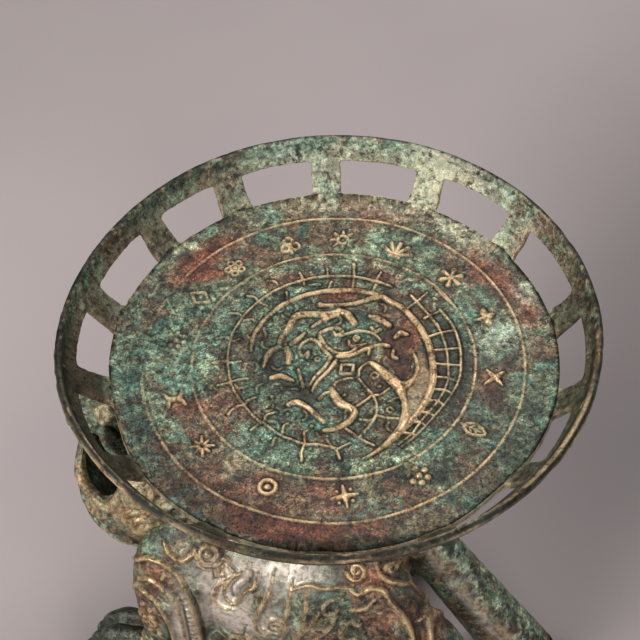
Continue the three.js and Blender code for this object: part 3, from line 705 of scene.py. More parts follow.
def make_tray(material):
    relief = floor_relief()
    ring = 2 * math.pi * np.arange(STEPS) / STEPS
    cam = ring - TURN

    def edge_radius(angle):  # some windows are cut a little way into the floor
        d1 = (np.degrees(angle) + 32 + 180) % 360 - 180
        d2 = (np.degrees(angle) - 206 + 180) % 360 - 180
        return FLOOR_R - 2.0 * np.exp(-((d1 / 11) ** 2)) - 2.0 * np.exp(-((d2 / 13) ** 2))

    # ---- points of the floor: close together along the raised lines
    def hexes(step):
        n = int(112 / step) + 2
        i, j = np.meshgrid(np.arange(-n, n + 1), np.arange(-n, n + 1), indexing="ij")
        x = (i + 0.5 * (j % 2)) * step
        y = j * step * 0.866
        x, y = x.ravel(), y.ravel()
        p = flat3(x, y)
        return x + 0.18 * step * noise(p, step * 0.9, 5), y + 0.18 * step * noise(p, step * 0.9, 6)

    def field(x, y):
        return (x > 16.5) & (x < 45.5) & (y > -17.5) & (y < 25.5)

    def depth(x, y):
        rad = np.hypot(x, y)
        s = relief.at(x, y)
        s = np.maximum(s, np.where(field(x, y), 1.2 - abs(relief.hollow.at(x, y)), -9))
        return np.maximum(s, np.maximum(0.5 - abs(rad - 93.5), 0.5 - abs(rad - 69.2)))

    xs, ys = [], []
    for step, lo, hi in ((0.52, -0.75, 9), (1.0, -2.2, -0.75), (1.75, -99, -2.2)):
        x, y = hexes(step)
        rad = np.hypot(x, y)
        keep = rad < edge_radius(np.arctan2(y, x) + TURN) - 1.2
        x, y = x[keep], y[keep]
        s = depth(x, y)
        keep = (s > lo) & (s <= hi)
        xs.append(x[keep])
        ys.append(y[keep])
    x, y = np.concatenate(xs), np.concatenate(ys)
    er = edge_radius(ring)
    bx, by = er * np.cos(cam), er * np.sin(cam)
    x, y = np.concatenate([bx, x]), np.concatenate([by, y])
    made = delaunay_2d_cdt([Vector(q) for q in np.column_stack([x, y])], [], [], 0, 1e-7)
    got = np.array([q[:] for q in made[0]])
    assert len(got) == len(x), (len(got), len(x))
    tri = np.array(made[2])
    a, b, c = got[tri[:, 0]], got[tri[:, 1]], got[tri[:, 2]]
    area = (b[:, 0] - a[:, 0]) * (c[:, 1] - a[:, 1]) - (b[:, 1] - a[:, 1]) * (c[:, 0] - a[:, 0])
    tri[area < 0] = tri[area < 0][:, ::-1]
    x, y = got[:, 0], got[:, 1]
    rad, ang = np.hypot(x, y), np.arctan2(y, x)

    def window(angle):  # 1 in a window, 0 on a post
        d = abs((np.degrees(np.asarray(angle)[:, None] + TURN) - np.array(POSTS)[None] + 180) % 360 - 180).min(1)
        return smoothstep(2.0, 3.7, d)

    # ---- heights of the floor
    deg = np.degrees(ang) % 360
    p = flat3(x, y)
    worn = 0.5 + 0.5 * lumps(p, 9, 21)
    s = relief.at(x, y)
    hi = relief.at(x, y, relief.high)
    left = np.exp(-(((deg - 165) / 32) ** 2))
    hi_line = hi * (0.62 + 0.55 * worn)
    s = s + 0.16 * lumps(p, 2.4, 71, 2)
    h = 1.55 * hi_line * (0.72 * smoothstep(-0.5, 0.35, s) + 0.55 * smoothstep(-0.1, 1.7, s))
    rubbed = np.where(hi > 0.95, np.clip(0.45 + 0.9 * worn, 0, 1), np.clip(0.28 + 1.05 * worn, 0, 1) * np.where(hi < 0.5, 0.34, 1))
    wear_and_highlight = smoothstep(-0.22, 0.2, s) * rubbed * (1 - 0.5 * left)
    # dark margins beside the raised lines: dirt in their corners and painted shade on their sides
    cav = np.exp(-(((s + 0.75) / 0.6) ** 2)) * (s < 0.1) * np.clip(np.where(rad < 69, 0.78, 0.6) + 0.5 * lumps(p, 6, 73), 0.2, 1)
    for radius, fade in ((93.5, 0.75 * left), (69.2, 0.65 * left)):
        t = 0.55 - abs(rad - radius - 0.5 * noise(p, 22, 31))
        strong = np.clip(0.25 + 1.0 * worn - fade, 0.05, 1)
        h = np.maximum(h, 0.55 * strong * smoothstep(-0.45, 0.35, t))
        wear_and_highlight = np.maximum(wear_and_highlight, 0.9 * strong * smoothstep(-0.2, 0.2, t))
        # dirt and painted shade beside the two rings as well
        cav = np.maximum(cav, 0.4 * np.exp(-(((t + 0.8) / 0.5) ** 2)))
    # the middle stands a touch proud; the crescent beside the sickle is a low pillow
    h += 0.35 * (1 - smoothstep(66, 72, rad)) + 0.25 * (1 - smoothstep(50, 58, rad))
    near = (x > 11) & (x < 61) & (y > -55) & (y < 23)
    pillow = np.where(near, smoothstep(-0.8, 1.4, relief.leaf.at(x, y)), 0)
    h += 0.55 * pillow
    h += 0.22 * lumps(p, 16, 51) + 0.16 * lumps(p, 5, 52) + EDGE_Z * smoothstep(100, 110, rad) ** 2
    h += -0.25 * smoothstep(0.35, 0.7, lumps(p, 3.4, 57, 2))
    edge_n = STEPS
    foot = 1.5 * (1 - window(ang))  # the posts rise from the floor in a hollow curve
    h += foot * smoothstep(102.5, 110, rad) ** 2
    h[:edge_n] = EDGE_Z + foot[:edge_n] + 0.15 * noise(p[:edge_n], 9, 61)
    wear_and_highlight = np.clip(wear_and_highlight + 0.62 * pillow * worn, 0, 1)
    sunk = np.where(field(x, y), smoothstep(-0.4, 0.6, relief.hollow.at(x + 2.2 * lumps(p, 7, 75), y + 2.2 * lumps(p, 7, 76))), 0) * (1 - smoothstep(-0.4, 0.2, s))
    h -= 0.7 * sunk
    cav = cav * (1 - 0.6 * pillow)
    floor_pts = np.column_stack([x, y, h])
    fl_wear, fl_cav = wear_and_highlight, np.clip(cav, 0, 1)
    # painted shade on the floor's edge at the front and on the right, where it meets the wall
    front = np.maximum(smoothstep(-0.45, -0.75, np.sin(cam)), smoothstep(0.6, 0.85, np.cos(cam)))
    fl_wear[:STEPS] = 0.55 * smoothstep(-0.3, 0.3, lumps(p[:STEPS], 9, 63)) * (1 - front)
    fl_cav[:STEPS] = np.maximum(fl_cav[:STEPS], 0.9 * front)

    verts = [floor_pts]
    attr_wear_and_highlight, attr_cav = [fl_wear], [fl_cav]
    count = len(floor_pts)
    quads, tris = [], [tri]

    def grow(pts, wear_and_highlight, cav):
        nonlocal count
        verts.append(pts)
        attr_wear_and_highlight.append(wear_and_highlight)
        attr_cav.append(cav)
        first = count
        count += len(pts)
        return first

    # ---- the wall, in the camera's turn of the ring
    def bulge(angle):  # the rim has been pushed out a little on one side
        d = (np.degrees(angle) - 188 + 180) % 360 - 180
        return 3.0 * np.exp(-((d / 26) ** 2))

    def wall(angle, t, off):
        """Inner face of the wall at height t (0 at the floor, 1 under the lip), pushed off mm into the metal.
        In the windows the floor ends in an upright edge."""
        er = edge_radius(angle + TURN)
        dr, dz = TOP_R - er, TOP_Z - EDGE_Z
        ln = np.sqrt(dr**2 + dz**2)
        sag = 0.7 * np.sin(np.pi * np.clip(t, 0, 1))
        rr = er + dr * t + (sag + off) * dz / ln + bulge(angle) * np.clip(t, 0, 1.3)
        zz = EDGE_Z + dz * t - (sag + off) * dr / ln
        w = window(angle) * (1 - smoothstep(0.0, 0.2, t)) * np.clip(off / WALL_T, 0, 1)
        rr, zz = rr - w * WALL_T * dz / ln, zz - 1.7 * w
        zz = zz + 1.5 * (1 - window(angle)) * (1 - smoothstep(0.0, 0.34, t)) * (1 - np.clip(off / WALL_T, 0, 1))
        return np.column_stack([rr * np.cos(angle), rr * np.sin(angle), zz])

    # columns of the ring under the floor edge and under the lip
    top_in = grow(wall(cam, np.ones(STEPS), 0.0), np.full(STEPS, 0.12), np.zeros(STEPS))
    low_out = grow(wall(cam, np.full(STEPS, -0.09), WALL_T), np.full(STEPS, 0.1), np.zeros(STEPS))
    top_out = grow(wall(cam, np.ones(STEPS), WALL_T), np.full(STEPS, 0.15), np.zeros(STEPS))

    marks = [int(round(q / 360 * STEPS)) % STEPS for q in POSTS]
    order = sorted(marks)
    RINGS = np.array([0.0, 0.05, 0.13, 0.26, 0.5, 1.0])
    CORNER = 1.25
    NS = 13
    for i, m0 in enumerate(order):
        m1 = order[(i + 1) % len(order)]
        n = (m1 - m0) % STEPS
        cols = (m0 + np.arange(n + 1)) % STEPS
        a0, a1 = 2 * math.pi * m0 / STEPS - TURN, 2 * math.pi * (m0 + n) / STEPS - TURN
        # outer loop of the sector, once round: along the floor, up, back under the lip, down
        ta = np.concatenate([np.linspace(-1, 1, n + 1)[:-1], np.ones(NS), np.linspace(1, -1, n + 1)[:-1], -np.ones(NS)])
        tb = np.concatenate([-np.ones(n), np.linspace(-1, 1, NS + 1)[:-1], np.ones(n), np.linspace(1, -1, NS + 1)[:-1]])
        loop = len(ta)
        # the window: a rounded rectangle, its edge a little ragged
        norm = (abs(ta) ** 12 + abs(tb) ** 12) ** (1 / 12)
        wa, wb = ta / norm, tb / norm
        mid, half = (a0 + a1) / 2, (a1 - a0) / 2
        post = math.radians(3.75 + 0.35 * math.sin(2.3 * i))
        lo_t, hi_t = 0.012, 0.80 + 0.012 * math.sin(1.7 * i + 1) - (0.24 if i == 11 else 0.18 if i == 12 else 0)
        ha, mt, ht = half - post, (lo_t + hi_t) / 2, (hi_t - lo_t) / 2
        probe = np.column_stack([wa * 17 + 60 * i, wb * 9, np.zeros(loop)])
        rag = 0.034 * lumps(probe, 5, 81) + 0.018 * noise(probe, 1.6, 82)
        flare = 1 + 0.03 * wb
        hole_a = mid + ha * wa * flare * (1 + rag)
        hole_t = np.maximum(mt + ht * wb * (1 + 1.6 * rag), 0.008)
        out_a = mid + half * ta
        out_t = (tb + 1) / 2
        # stations: sector border to hole on the inner face, through the hole, back on the outer face
        er_mid = FLOOR_R + 8
        rows = []
        for f in RINGS[::-1]:
            rows.append(("in", f))
        rows.append(("mid", 0.0))
        for f in RINGS:
            rows.append(("out", f))
        ids = []
        for kind, f in rows:
            aa, tt = hole_a + (out_a - hole_a) * f, hole_t + (out_t - hole_t) * f
            gap = np.hypot((aa - hole_a) * er_mid, (tt - hole_t) * 22.0)
            corner = 0.35 + (CORNER - 0.35) * smoothstep(0.06, 0.3, tt)
            drop = np.where(gap < corner, corner - np.sqrt(np.maximum(0, corner**2 - (corner - gap) ** 2)), 0)
            probe = np.column_stack([aa * 118, tt * 22, np.zeros(loop) + (0 if kind == "in" else 9)])
            rough = 0.16 * lumps(probe, 5, 91) + 0.08 * noise(probe, 1.7, 92)
            if kind == "mid":
                pts = wall(aa, tt, WALL_T / 2 + 0 * rough)
                first = grow(pts, np.full(loop, 0.25), np.zeros(loop))
                ids.append(first + np.arange(loop))
                continue
            if f == 1.0:  # shared with the floor's edge, the neighbours and the lip
                shared = np.full(loop, -1)
                base_lo = 0 if kind == "in" else low_out
                base_hi = top_in if kind == "in" else top_out
                shared[: n + 1] = base_lo + cols
                shared[n + NS : 2 * n + NS + 1] = base_hi + cols[::-1]
                key = kind + str(m0)
                side_lo, side_hi = np.arange(n + 1, n + NS), np.arange(2 * n + NS + 1, loop)
                store = make_tray.sides
                for where, mark, up in ((side_lo, (kind, m1), True), (side_hi, (kind, m0), False)):
                    if mark not in store:
                        ang_here = 2 * math.pi * mark[1] / STEPS - TURN
                        tt1 = np.linspace(0, 1, NS + 1)[1:-1]
                        pr = np.column_stack([np.full(NS - 1, ang_here * 118), tt1 * 22, np.zeros(NS - 1) + (0 if kind == "in" else 9)])
                        rg = 0.16 * lumps(pr, 5, 91) + 0.08 * noise(pr, 1.7, 92)
                        off = rg if kind == "in" else WALL_T - rg
                        first = grow(wall(np.full(NS - 1, ang_here), tt1, off), np.full(NS - 1, 0.12), np.zeros(NS - 1))
                        store[mark] = first + np.arange(NS - 1)
                    shared[where] = store[mark] if up else store[mark][::-1]
                ids.append(shared)
                continue
            fade = np.clip((1 - f) * 3, 0, 1)
            off = drop + rough * fade if kind == "in" else WALL_T - drop - rough * fade
            near = np.exp(-((gap / 0.9) ** 2))
            first = grow(wall(aa, tt, off), 0.12 + 0.5 * near * (0.5 + 0.5 * lumps(probe, 6, 95)), np.zeros(loop))
            ids.append(first + np.arange(loop))
        for u, v in zip(ids[:-1], ids[1:]):
            quads.append(np.column_stack([u, np.roll(u, -1), np.roll(v, -1), v]))

    # ---- lip: a rounded bead all the way round
    push = bulge(cam)
    prev = top_in + np.arange(STEPS)
    lip_rows = [(-1.9, -2.6), (-1.25, -0.6), (-0.85, 1.0), (-0.3, 2.2), (0.5, 2.75), (1.4, 2.5), (2.2, 1.4), (2.6, 0.0), (2.4, -1.5), (1.6, -2.8)]
    here = np.degrees(cam)
    # sectors of the lip, mostly at the front left facing the key light, where its edges get a painted highlight
    bright = np.exp(-((((here - 222 + 180) % 360 - 180) / 22) ** 2)) + 0.5 * np.exp(-((((here - 322 + 180) % 360 - 180) / 30) ** 2))
    for k, (dr, dz) in enumerate(lip_rows):
        pr = np.column_stack([124 * np.cos(cam), 124 * np.sin(cam), np.full(STEPS, 3.0 * k)])
        wob = 0.09 * lumps(pr, 13, 101) + 0.05 * noise(pr, 3.2, 102)
        nick = -0.16 * smoothstep(0.45, 0.8, noise(pr * [1, 1, 0.4], 7, 103))
        q = 1 + wob + nick
        rr = LIP_R + push * 1.15 + q * dr - (1.5, 1.3, 0.8, 0.3, 0, 0, 0, 0, 0, 0)[k] * np.exp(-((((here - 325 + 180) % 360 - 180) / 24) ** 2))
        zz = LIP_Z + 0.25 * lumps(pr * [1, 1, 0], 60, 104) + q * dz
        fleck_and_highlight = smoothstep(0.42, 0.7, noise(pr, 2.6, 105)) * (0.45 if 1 <= k <= 4 else 0.15)
        if k in (3, 7, 8):  # golden patches along the front
            fleck_and_highlight = np.maximum(fleck_and_highlight, np.clip((0.3 if k == 3 else 0.1) + 0.6 * smoothstep(-0.1, 0.5, lumps(pr * [1, 1, 0.3], 15, 110)), 0, 1) * smoothstep(0.0, -0.6, np.sin(cam)))
        if k in (3, 4):  # painted highlight along the top on the near right, drawn as worn metal
            fleck_and_highlight = np.maximum(fleck_and_highlight, 0.5 * np.exp(-((((here - 318 + 180) % 360 - 180) / 30) ** 2)) * smoothstep(-0.4, 0.2, lumps(pr, 9, 107)))
        if k == 2:  # painted highlight along its inner edge on the near left, drawn as worn metal
            fleck_and_highlight = np.maximum(fleck_and_highlight, 0.75 * bright * smoothstep(-0.3, 0.2, lumps(pr, 9, 109)) * (np.sin(cam) < 0) * (np.cos(cam) < 0))
        # painted highlight on the lip's outer edge at the front left, drawn as worn metal
        edge = (0.35 if k == 6 else 0.85 if k == 7 else 0.4 if k == 8 else 0) * bright * smoothstep(-0.5, 0.2, lumps(pr, 16, 106)) * (np.cos(cam) < 0)
        nearby = smoothstep(0.15, -0.15, np.sin(cam))
        # dark crust and painted shade: the lip's inner flank at the front and its outer flank at the back are darkened
        crust = (0.95, 0.85, 0.45, 0.1, 0.25, 0.8, 0.65, 0.2, 0.35, 0.85)[k] * nearby + (0, 0, 0, 0.3, 0.9, 1, 1, 0.9, 0.9, 0.8)[k] * (1 - nearby)
        crust = crust * np.clip(0.8 + 0.4 * lumps(pr, 8, 108), 0.25, 1)
        first = grow(np.column_stack([rr * np.cos(cam), rr * np.sin(cam), zz]), np.clip(np.maximum(fleck_and_highlight, edge), 0, 1), np.clip(crust, 0, 1))
        row = first + np.arange(STEPS)
        quads.append(np.column_stack([prev, np.roll(prev, -1), np.roll(row, -1), row]))
        prev = row
    row = top_out + np.arange(STEPS)
    quads.append(np.column_stack([prev, np.roll(prev, -1), np.roll(row, -1), row]))

    # ---- underside
    prev = low_out + np.arange(STEPS)
    for rr, zz in ((106.6, -3.95), (70.0, -FLOOR_T), (34.0, -FLOOR_T)):
        pr = np.column_stack([rr * np.cos(cam), rr * np.sin(cam), np.zeros(STEPS)])
        z = np.full(STEPS, zz) + (0.18 * lumps(pr, 14, 111) if rr > 34 else 0)
        first = grow(np.column_stack([rr * np.cos(cam), rr * np.sin(cam), z]), np.full(STEPS, 0.08), np.zeros(STEPS))
        row = first + np.arange(STEPS)
        quads.append(np.column_stack([prev, np.roll(prev, -1), np.roll(row, -1), row]))
        prev = row
    centre = grow(np.array([[0, 0, -FLOOR_T]]), np.zeros(1), np.zeros(1))
    tris.append(np.column_stack([prev, np.roll(prev, -1), np.full(STEPS, centre)]))

    verts = np.concatenate(verts)
    x, y = verts[:, 0].copy(), verts[:, 1].copy()
    # painted shade on the inner wall and posts below the lip, from the left round the front to the right
    painted_wall_shade = smoothstep(111, 113, np.hypot(x, y)) * (verts[:, 2] < 20) * np.clip(0.72 + 0.4 * lumps(verts, 7, 121), 0, 1)
    turned = np.degrees(np.arctan2(y, x)) % 360
    turned = np.where(turned < 90, turned + 360, turned)
    painted_wall_shade = painted_wall_shade * smoothstep(158, 190, turned) * smoothstep(386, 362, turned)
    masks = tray_masks(x, y, np.hypot(x, y), np.arctan2(y, x))
    masks["red"][: len(sunk)] = np.maximum(masks["red"][: len(sunk)], 0.95 * sunk)
    masks["dark"][: len(sunk)] = np.maximum(masks["dark"][: len(sunk)], 0.78 * sunk)
    masks["teal"][: len(sunk)] *= 1 - sunk
    masks["teal"] = np.maximum(masks["teal"], 0.8 * painted_wall_shade * smoothstep(285, 310, turned))
    masks["busy"] = (1 - 0.45 * smoothstep(62, 70, np.hypot(x, y))) * (1 - 0.7 * smoothstep(106, 112, np.hypot(x, y)))
    c, s = math.cos(TURN), math.sin(TURN)
    verts = np.column_stack([c * x - s * y, s * x + c * y, verts[:, 2] + FLOOR_Z])
    attrs = {"wear_and_highlight": np.concatenate(attr_wear_and_highlight) * (1 - 0.8 * painted_wall_shade), "cav": np.maximum(np.concatenate(attr_cav), (0.8 - 0.2 * smoothstep(290, 320, turned)) * painted_wall_shade), **masks}
    quads = np.concatenate(quads)
    print("tray triangles", 2 * len(quads) + sum(len(t) for t in tris))
    return piece("tray_dish_cast", verts, quads, np.concatenate(tris), attrs, material, "tray", ["tray_dish"])


make_tray.sides = {}

# ---------------------------------------------------------------- shells and solids


def along(table, s):
    """A smooth curve through the rows of a table; s runs from 0 to 1 over all rows."""
    t = np.asarray(table, float)
    n = len(t) - 1
    f = np.clip(np.asarray(s, float), 0, 1) * n
    k = np.minimum(f.astype(int), n - 1)
    u = (f - k)[:, None]
    b, d = t[k], t[k + 1]
    a, e = t[np.maximum(k - 1, 0)], t[np.minimum(k + 2, n)]
    m0, m1 = (d - a) / 2, (e - b) / 2
    return (2 * u**3 - 3 * u**2 + 1) * b + (u**3 - 2 * u**2 + u) * m0 + (3 * u**2 - 2 * u**3) * d + (u**3 - u**2) * m1


def rows_mesh(rows, first, last):
    """A closed skin over rows of points (rows x around x 3) with a point at each end."""
    r, a, _ = rows.shape
    verts = np.concatenate([rows.reshape(-1, 3), [first], [last]])
    i = np.arange(a)
    j = np.roll(i, -1)
    quads = np.concatenate([np.column_stack([k * a + i, k * a + j, (k + 1) * a + j, (k + 1) * a + i]) for k in range(r - 1)])
    tris = np.concatenate([
        np.column_stack([j, i, np.full(a, r * a)]),
        np.column_stack([(r - 1) * a + i, (r - 1) * a + j, np.full(a, r * a + 1)]),
    ])
    p = verts
    q = np.concatenate([quads[:, [0, 1, 2]], quads[:, [0, 2, 3]], tris])
    six = np.einsum("ij,ij->i", p[q[:, 0]], np.cross(p[q[:, 1]], p[q[:, 2]])).sum()
    if six < 0:
        quads, tris = quads[:, ::-1], tris[:, ::-1]
    return verts, quads, tris


def egg(mid, semi, around=40, rows=26, tilt=None):
    t = np.pi * (np.arange(1, rows) / rows)
    a = 2 * np.pi * np.arange(around) / around
    p = np.stack([
        np.sin(t)[:, None] * np.cos(a)[None] * semi[0],
        np.sin(t)[:, None] * np.sin(a)[None] * semi[1],
        np.cos(t)[:, None] * np.ones(around)[None] * semi[2],
    ], -1)
    ends = [np.array([0, 0, semi[2]]), np.array([0, 0, -semi[2]])]
    if tilt is not None:
        m = np.array(tilt)
        p, ends = p @ m.T, [m @ e for e in ends]
    mid = np.asarray(mid, float)
    return rows_mesh(p + mid, ends[0] + mid, ends[1] + mid)


def turn_y(deg):
    c, s = math.cos(math.radians(deg)), math.sin(math.radians(deg))
    return [[c, 0, s], [0, 1, 0], [-s, 0, c]]


def turn_z(deg):
    c, s = math.cos(math.radians(deg)), math.sin(math.radians(deg))
    return np.array([[c, -s, 0], [s, c, 0], [0, 0, 1]])


def tube(points, radius, around=14, step=0.8):
    """A round bar along a smooth line with domed ends; radius may vary."""
    p = np.asarray(points, float)
    w = np.asarray(radius, float)
    w = np.full(len(p), float(w)) if w.ndim == 0 else np.interp(np.linspace(0, 1, len(p)), np.linspace(0, 1, len(w)), w)
    n = len(p)
    out = []
    for i in range(n - 1):
        b, c = np.append(p[i], w[i]), np.append(p[i + 1], w[i + 1])
        a = np.append(p[i - 1], w[i - 1]) if i > 0 else 2 * b - c
        d = np.append(p[i + 2], w[i + 2]) if i + 2 < n else 2 * c - b
        k = max(2, int(np.linalg.norm(c[:3] - b[:3]) / step) + 1)
        t = np.linspace(0, 1, k, endpoint=False)[:, None]
        out.append(0.5 * (2 * b + (c - a) * t + (2 * a - 5 * b + 4 * c - d) * t**2 + (3 * b - a - 3 * c + d) * t**3))
    out.append(np.append(p[-1], w[-1])[None])
    q = np.concatenate(out)
    c, r = q[:, :3], np.maximum(q[:, 3], 0.15)
    way = np.gradient(c, axis=0)
    way /= np.linalg.norm(way, axis=1)[:, None]
    side = np.cross(way, np.array([0.31, 0.17, 0.93]))
    side /= np.linalg.norm(side, axis=1)[:, None]
    over = np.cross(way, side)
    a = 2 * np.pi * np.arange(around) / around
    rows = []
    for g in (0.45, 0.8):
        rows.append((c[0] - way[0] * r[0] * math.sqrt(1 - g * g), side[0], over[0], r[0] * g))
    rows += [(c[i], side[i], over[i], r[i]) for i in range(len(c))]
    for g in (0.8, 0.45):
        rows.append((c[-1] + way[-1] * r[-1] * math.sqrt(1 - g * g), side[-1], over[-1], r[-1] * g))
    grid = np.array([m + q * (np.cos(a)[:, None] * s + np.sin(a)[:, None] * o) for m, s, o, q in rows])
    return rows_mesh(grid, c[0] - way[0] * r[0], c[-1] + way[-1] * r[-1])


def lathe(profile, around=120, step=0.9):
    """A solid of revolution about Z; the profile runs (radius, z) from the axis and back to it."""
    p = np.asarray(profile, float)
    pts = []
    for i in range(len(p) - 1):
        k = max(1, int(np.linalg.norm(p[i + 1] - p[i]) / step))
        pts += [p[i] + (p[i + 1] - p[i]) * j / k for j in range(k)]
    pts.append(p[-1])
    pts = np.array(pts)
    a = 2 * np.pi * np.arange(around) / around
    inner = pts[1:-1]
    grid = np.stack([inner[:, :1] * np.cos(a), inner[:, :1] * np.sin(a), np.repeat(inner[:, 1:], around, 1)], -1)
    return rows_mesh(grid, [0, 0, pts[0, 1]], [0, 0, pts[-1, 1]])


def joined(shells):
    verts, quads, tris, n = [], [], [], 0
    for v, q, t in shells:
        verts.append(v)
        quads.append(np.asarray(q, int).reshape(-1, 4) + n)
        tris.append(np.asarray(t, int).reshape(-1, 3) + n)
        n += len(v)
    return np.concatenate(verts), np.concatenate(quads), np.concatenate(tris)


def loose(verts, quads, tris, name="loose"):
    me = bpy.data.meshes.new(name)
    me.vertices.add(len(verts))
    me.vertices.foreach_set("co", (np.asarray(verts) * MM).astype(np.float32).ravel())
    loops = np.concatenate([np.asarray(quads).ravel(), np.asarray(tris).ravel()]).astype(np.int32)
    me.loops.add(len(loops))
    me.loops.foreach_set("vertex_index", loops)
    me.polygons.add(len(quads) + len(tris))
    starts = np.concatenate([np.arange(len(quads)) * 4, 4 * len(quads) + np.arange(len(tris)) * 3])
    me.polygons.foreach_set("loop_start", starts.astype(np.int32))
    me.update(calc_edges=True)
    obj = bpy.data.objects.new(name, me)
    bpy.context.scene.collection.objects.link(obj)
    return obj


def taken(obj):
    """The evaluated mesh as points in mm, quads and triangles; the object is removed."""
    bpy.context.view_layer.update()
    dg = bpy.context.evaluated_depsgraph_get()
    me = bpy.data.meshes.new_from_object(obj.evaluated_get(dg))
    v = np.zeros(len(me.vertices) * 3, np.float32)
    me.vertices.foreach_get("co", v)
    total = np.zeros(len(me.polygons), np.int32)
    start = np.zeros(len(me.polygons), np.int32)
    me.polygons.foreach_get("loop_total", total)
    me.polygons.foreach_get("loop_start", start)
    loop = np.zeros(len(me.loops), np.int32)
    me.loops.foreach_get("vertex_index", loop)
    four = start[total == 4]
    quads = loop[four[:, None] + np.arange(4)] if len(four) else np.zeros((0, 4), int)
    me.calc_loop_triangles()
    lt = np.zeros(len(me.loop_triangles) * 3, np.int32)
    me.loop_triangles.foreach_get("vertices", lt)
    owner = np.zeros(len(me.loop_triangles), np.int32)
    me.loop_triangles.foreach_get("polygon_index", owner)
    tris = lt.reshape(-1, 3)[total[owner] != 4]
    old = obj.data
    bpy.data.objects.remove(obj)
    bpy.data.meshes.remove(old)
    bpy.data.meshes.remove(me)
    return v.reshape(-1, 3).astype(float) / MM, quads.astype(int), tris.astype(int)


def skinned(shells, voxel):
    """One skin over all the shells, with even faces of about that size."""
    obj = loose(*joined(shells))
    m = obj.modifiers.new("skin", "REMESH")
    m.mode = "VOXEL"
    m.voxel_size = voxel * MM
    return taken(obj)


def cut(shell, tool):
    a, b = loose(*shell), loose(*tool)
    m = a.modifiers.new("cut", "BOOLEAN")
    m.operation, m.object, m.solver = "DIFFERENCE", b, "EXACT"
    out = taken(a)
    old = b.data
    bpy.data.objects.remove(b)
    bpy.data.meshes.remove(old)
    return out


def edges_of(quads, tris):
    e = np.concatenate([quads[:, [0, 1]], quads[:, [1, 2]], quads[:, [2, 3]], quads[:, [3, 0]], tris[:, [0, 1]], tris[:, [1, 2]], tris[:, [2, 0]]])
    e = np.sort(e, 1)
    return np.unique(e, axis=0)


def smoothed(verts, quads, tris, times, keep=None):
    e = edges_of(quads, tris)
    deg = np.bincount(e.ravel(), minlength=len(verts)).astype(float)[:, None]
    v = verts.copy()
    for k in range(times):
        for gain in (0.5, -0.52):
            s = np.column_stack([
                np.bincount(e[:, 0], v[e[:, 1], c], len(v)) + np.bincount(e[:, 1], v[e[:, 0], c], len(v)) for c in range(3)
            ])
            move = gain * (s / np.maximum(deg, 1) - v)
            v = v + (move if keep is None else move * keep[:, None])
    return v


def normals(verts, quads, tris):
    n = np.zeros_like(verts)
    if len(quads):
        c = np.cross(verts[quads[:, 2]] - verts[quads[:, 0]], verts[quads[:, 3]] - verts[quads[:, 1]])
        for k in range(4):
            for ax in range(3):
                n[:, ax] += np.bincount(quads[:, k], c[:, ax], len(verts))
    if len(tris):
        c = np.cross(verts[tris[:, 1]] - verts[tris[:, 0]], verts[tris[:, 2]] - verts[tris[:, 0]])
        for k in range(3):
            for ax in range(3):
                n[:, ax] += np.bincount(tris[:, k], c[:, ax], len(verts))
    return n / np.maximum(np.linalg.norm(n, axis=1), 1e-9)[:, None]


def mirrored(shell):
    v, q, t = shell
    return v * [1, -1, 1], q[:, ::-1], t[:, ::-1]


# ---------------------------------------------------------------- beast

BODY = [
    [-94, 94, 0, 0, 0], [-92, 94, 20, 22, 20], [-84, 92, 42, 41, 42], [-66, 89, 60, 52, 64], [-40, 87, 67, 57, 68], [-8, 87, 68.5, 58, 63],
    [16, 88, 64, 56.5, 57], [27, 90, 53, 49, 51], [35, 92, 36, 35, 38], [40, 93, 17, 17, 19], [41.5, 93, 0, 0, 0],
]
FRONT_LEG = [
    [140, -70, -44, 0, 0], [138, -70, -44, 11, 5], [126, -73, -48, 22, 12], [110, -74.5, -51, 26, 16.5], [92, -76, -52, 26.5, 18],
    [74, -77, -52, 25.5, 17.5], [54, -78, -52, 24, 16.5], [36, -80, -52, 22, 15.5], [22, -82, -52, 21, 16], [10, -83, -52, 21.5, 18],
    [2.5, -83.5, -52, 22, 18.6], [0, -83.5, -52, 21, 17.8], [0, -83.5, -52, 0, 0],
]
HIND_LEG = [
    [136, 26, -39, 0, 0], [134, 26, -39, 8, 4], [124, 27.5, -43, 16, 11], [108, 29.5, -47, 21, 15.5], [92, 36.5, -48.5, 25.5, 17.5],
    [77, 46.5, -49.5, 29, 18], [62, 53.5, -50.5, 28, 17.5], [48, 58, -51, 22, 16], [33, 57.5, -51.5, 17, 15], [18, 56, -52, 16.5, 15.5],
    [7, 54.5, -52, 18, 17.5], [2, 54, -52, 18.5, 18.2], [0, 54, -52, 17.5, 17.4], [0, 54, -52, 0, 0],
]
FRONT_TOES = (-110, 27, 8.4, 19, 12.5, 12.2)
HIND_TOES = (30, 24, 8.2, 18, 12.5, 12)
HIND_STEP = -22.0
MOUTH = [(-135, 144), (-131.5, 140), (-118, 139), (-113, 143), (-108.5, 152), (-109, 158), (-113, 162), (-129, 162), (-134, 157)]


def side_place(p):
    """Where a point of the beast lies on its side drawing: x, and the way up from mid height."""
    y = np.maximum(abs(p[:, 1]), 1e-6)
    s = np.where(p[:, 2] > 90, 60 * np.arctan2(p[:, 2] - 90, y), p[:, 2] - 90)
    return p[:, 0], s


def spiral(cx, cy, r0, r1, turns, start, n=26, hand=1):
    k = np.linspace(0, 1, n)
    a = math.radians(start) + hand * 2 * math.pi * turns * k
    r = r0 + (r1 - r0) * k**0.85
    return list(zip(cx + r * np.cos(a), cy + r * np.sin(a)))


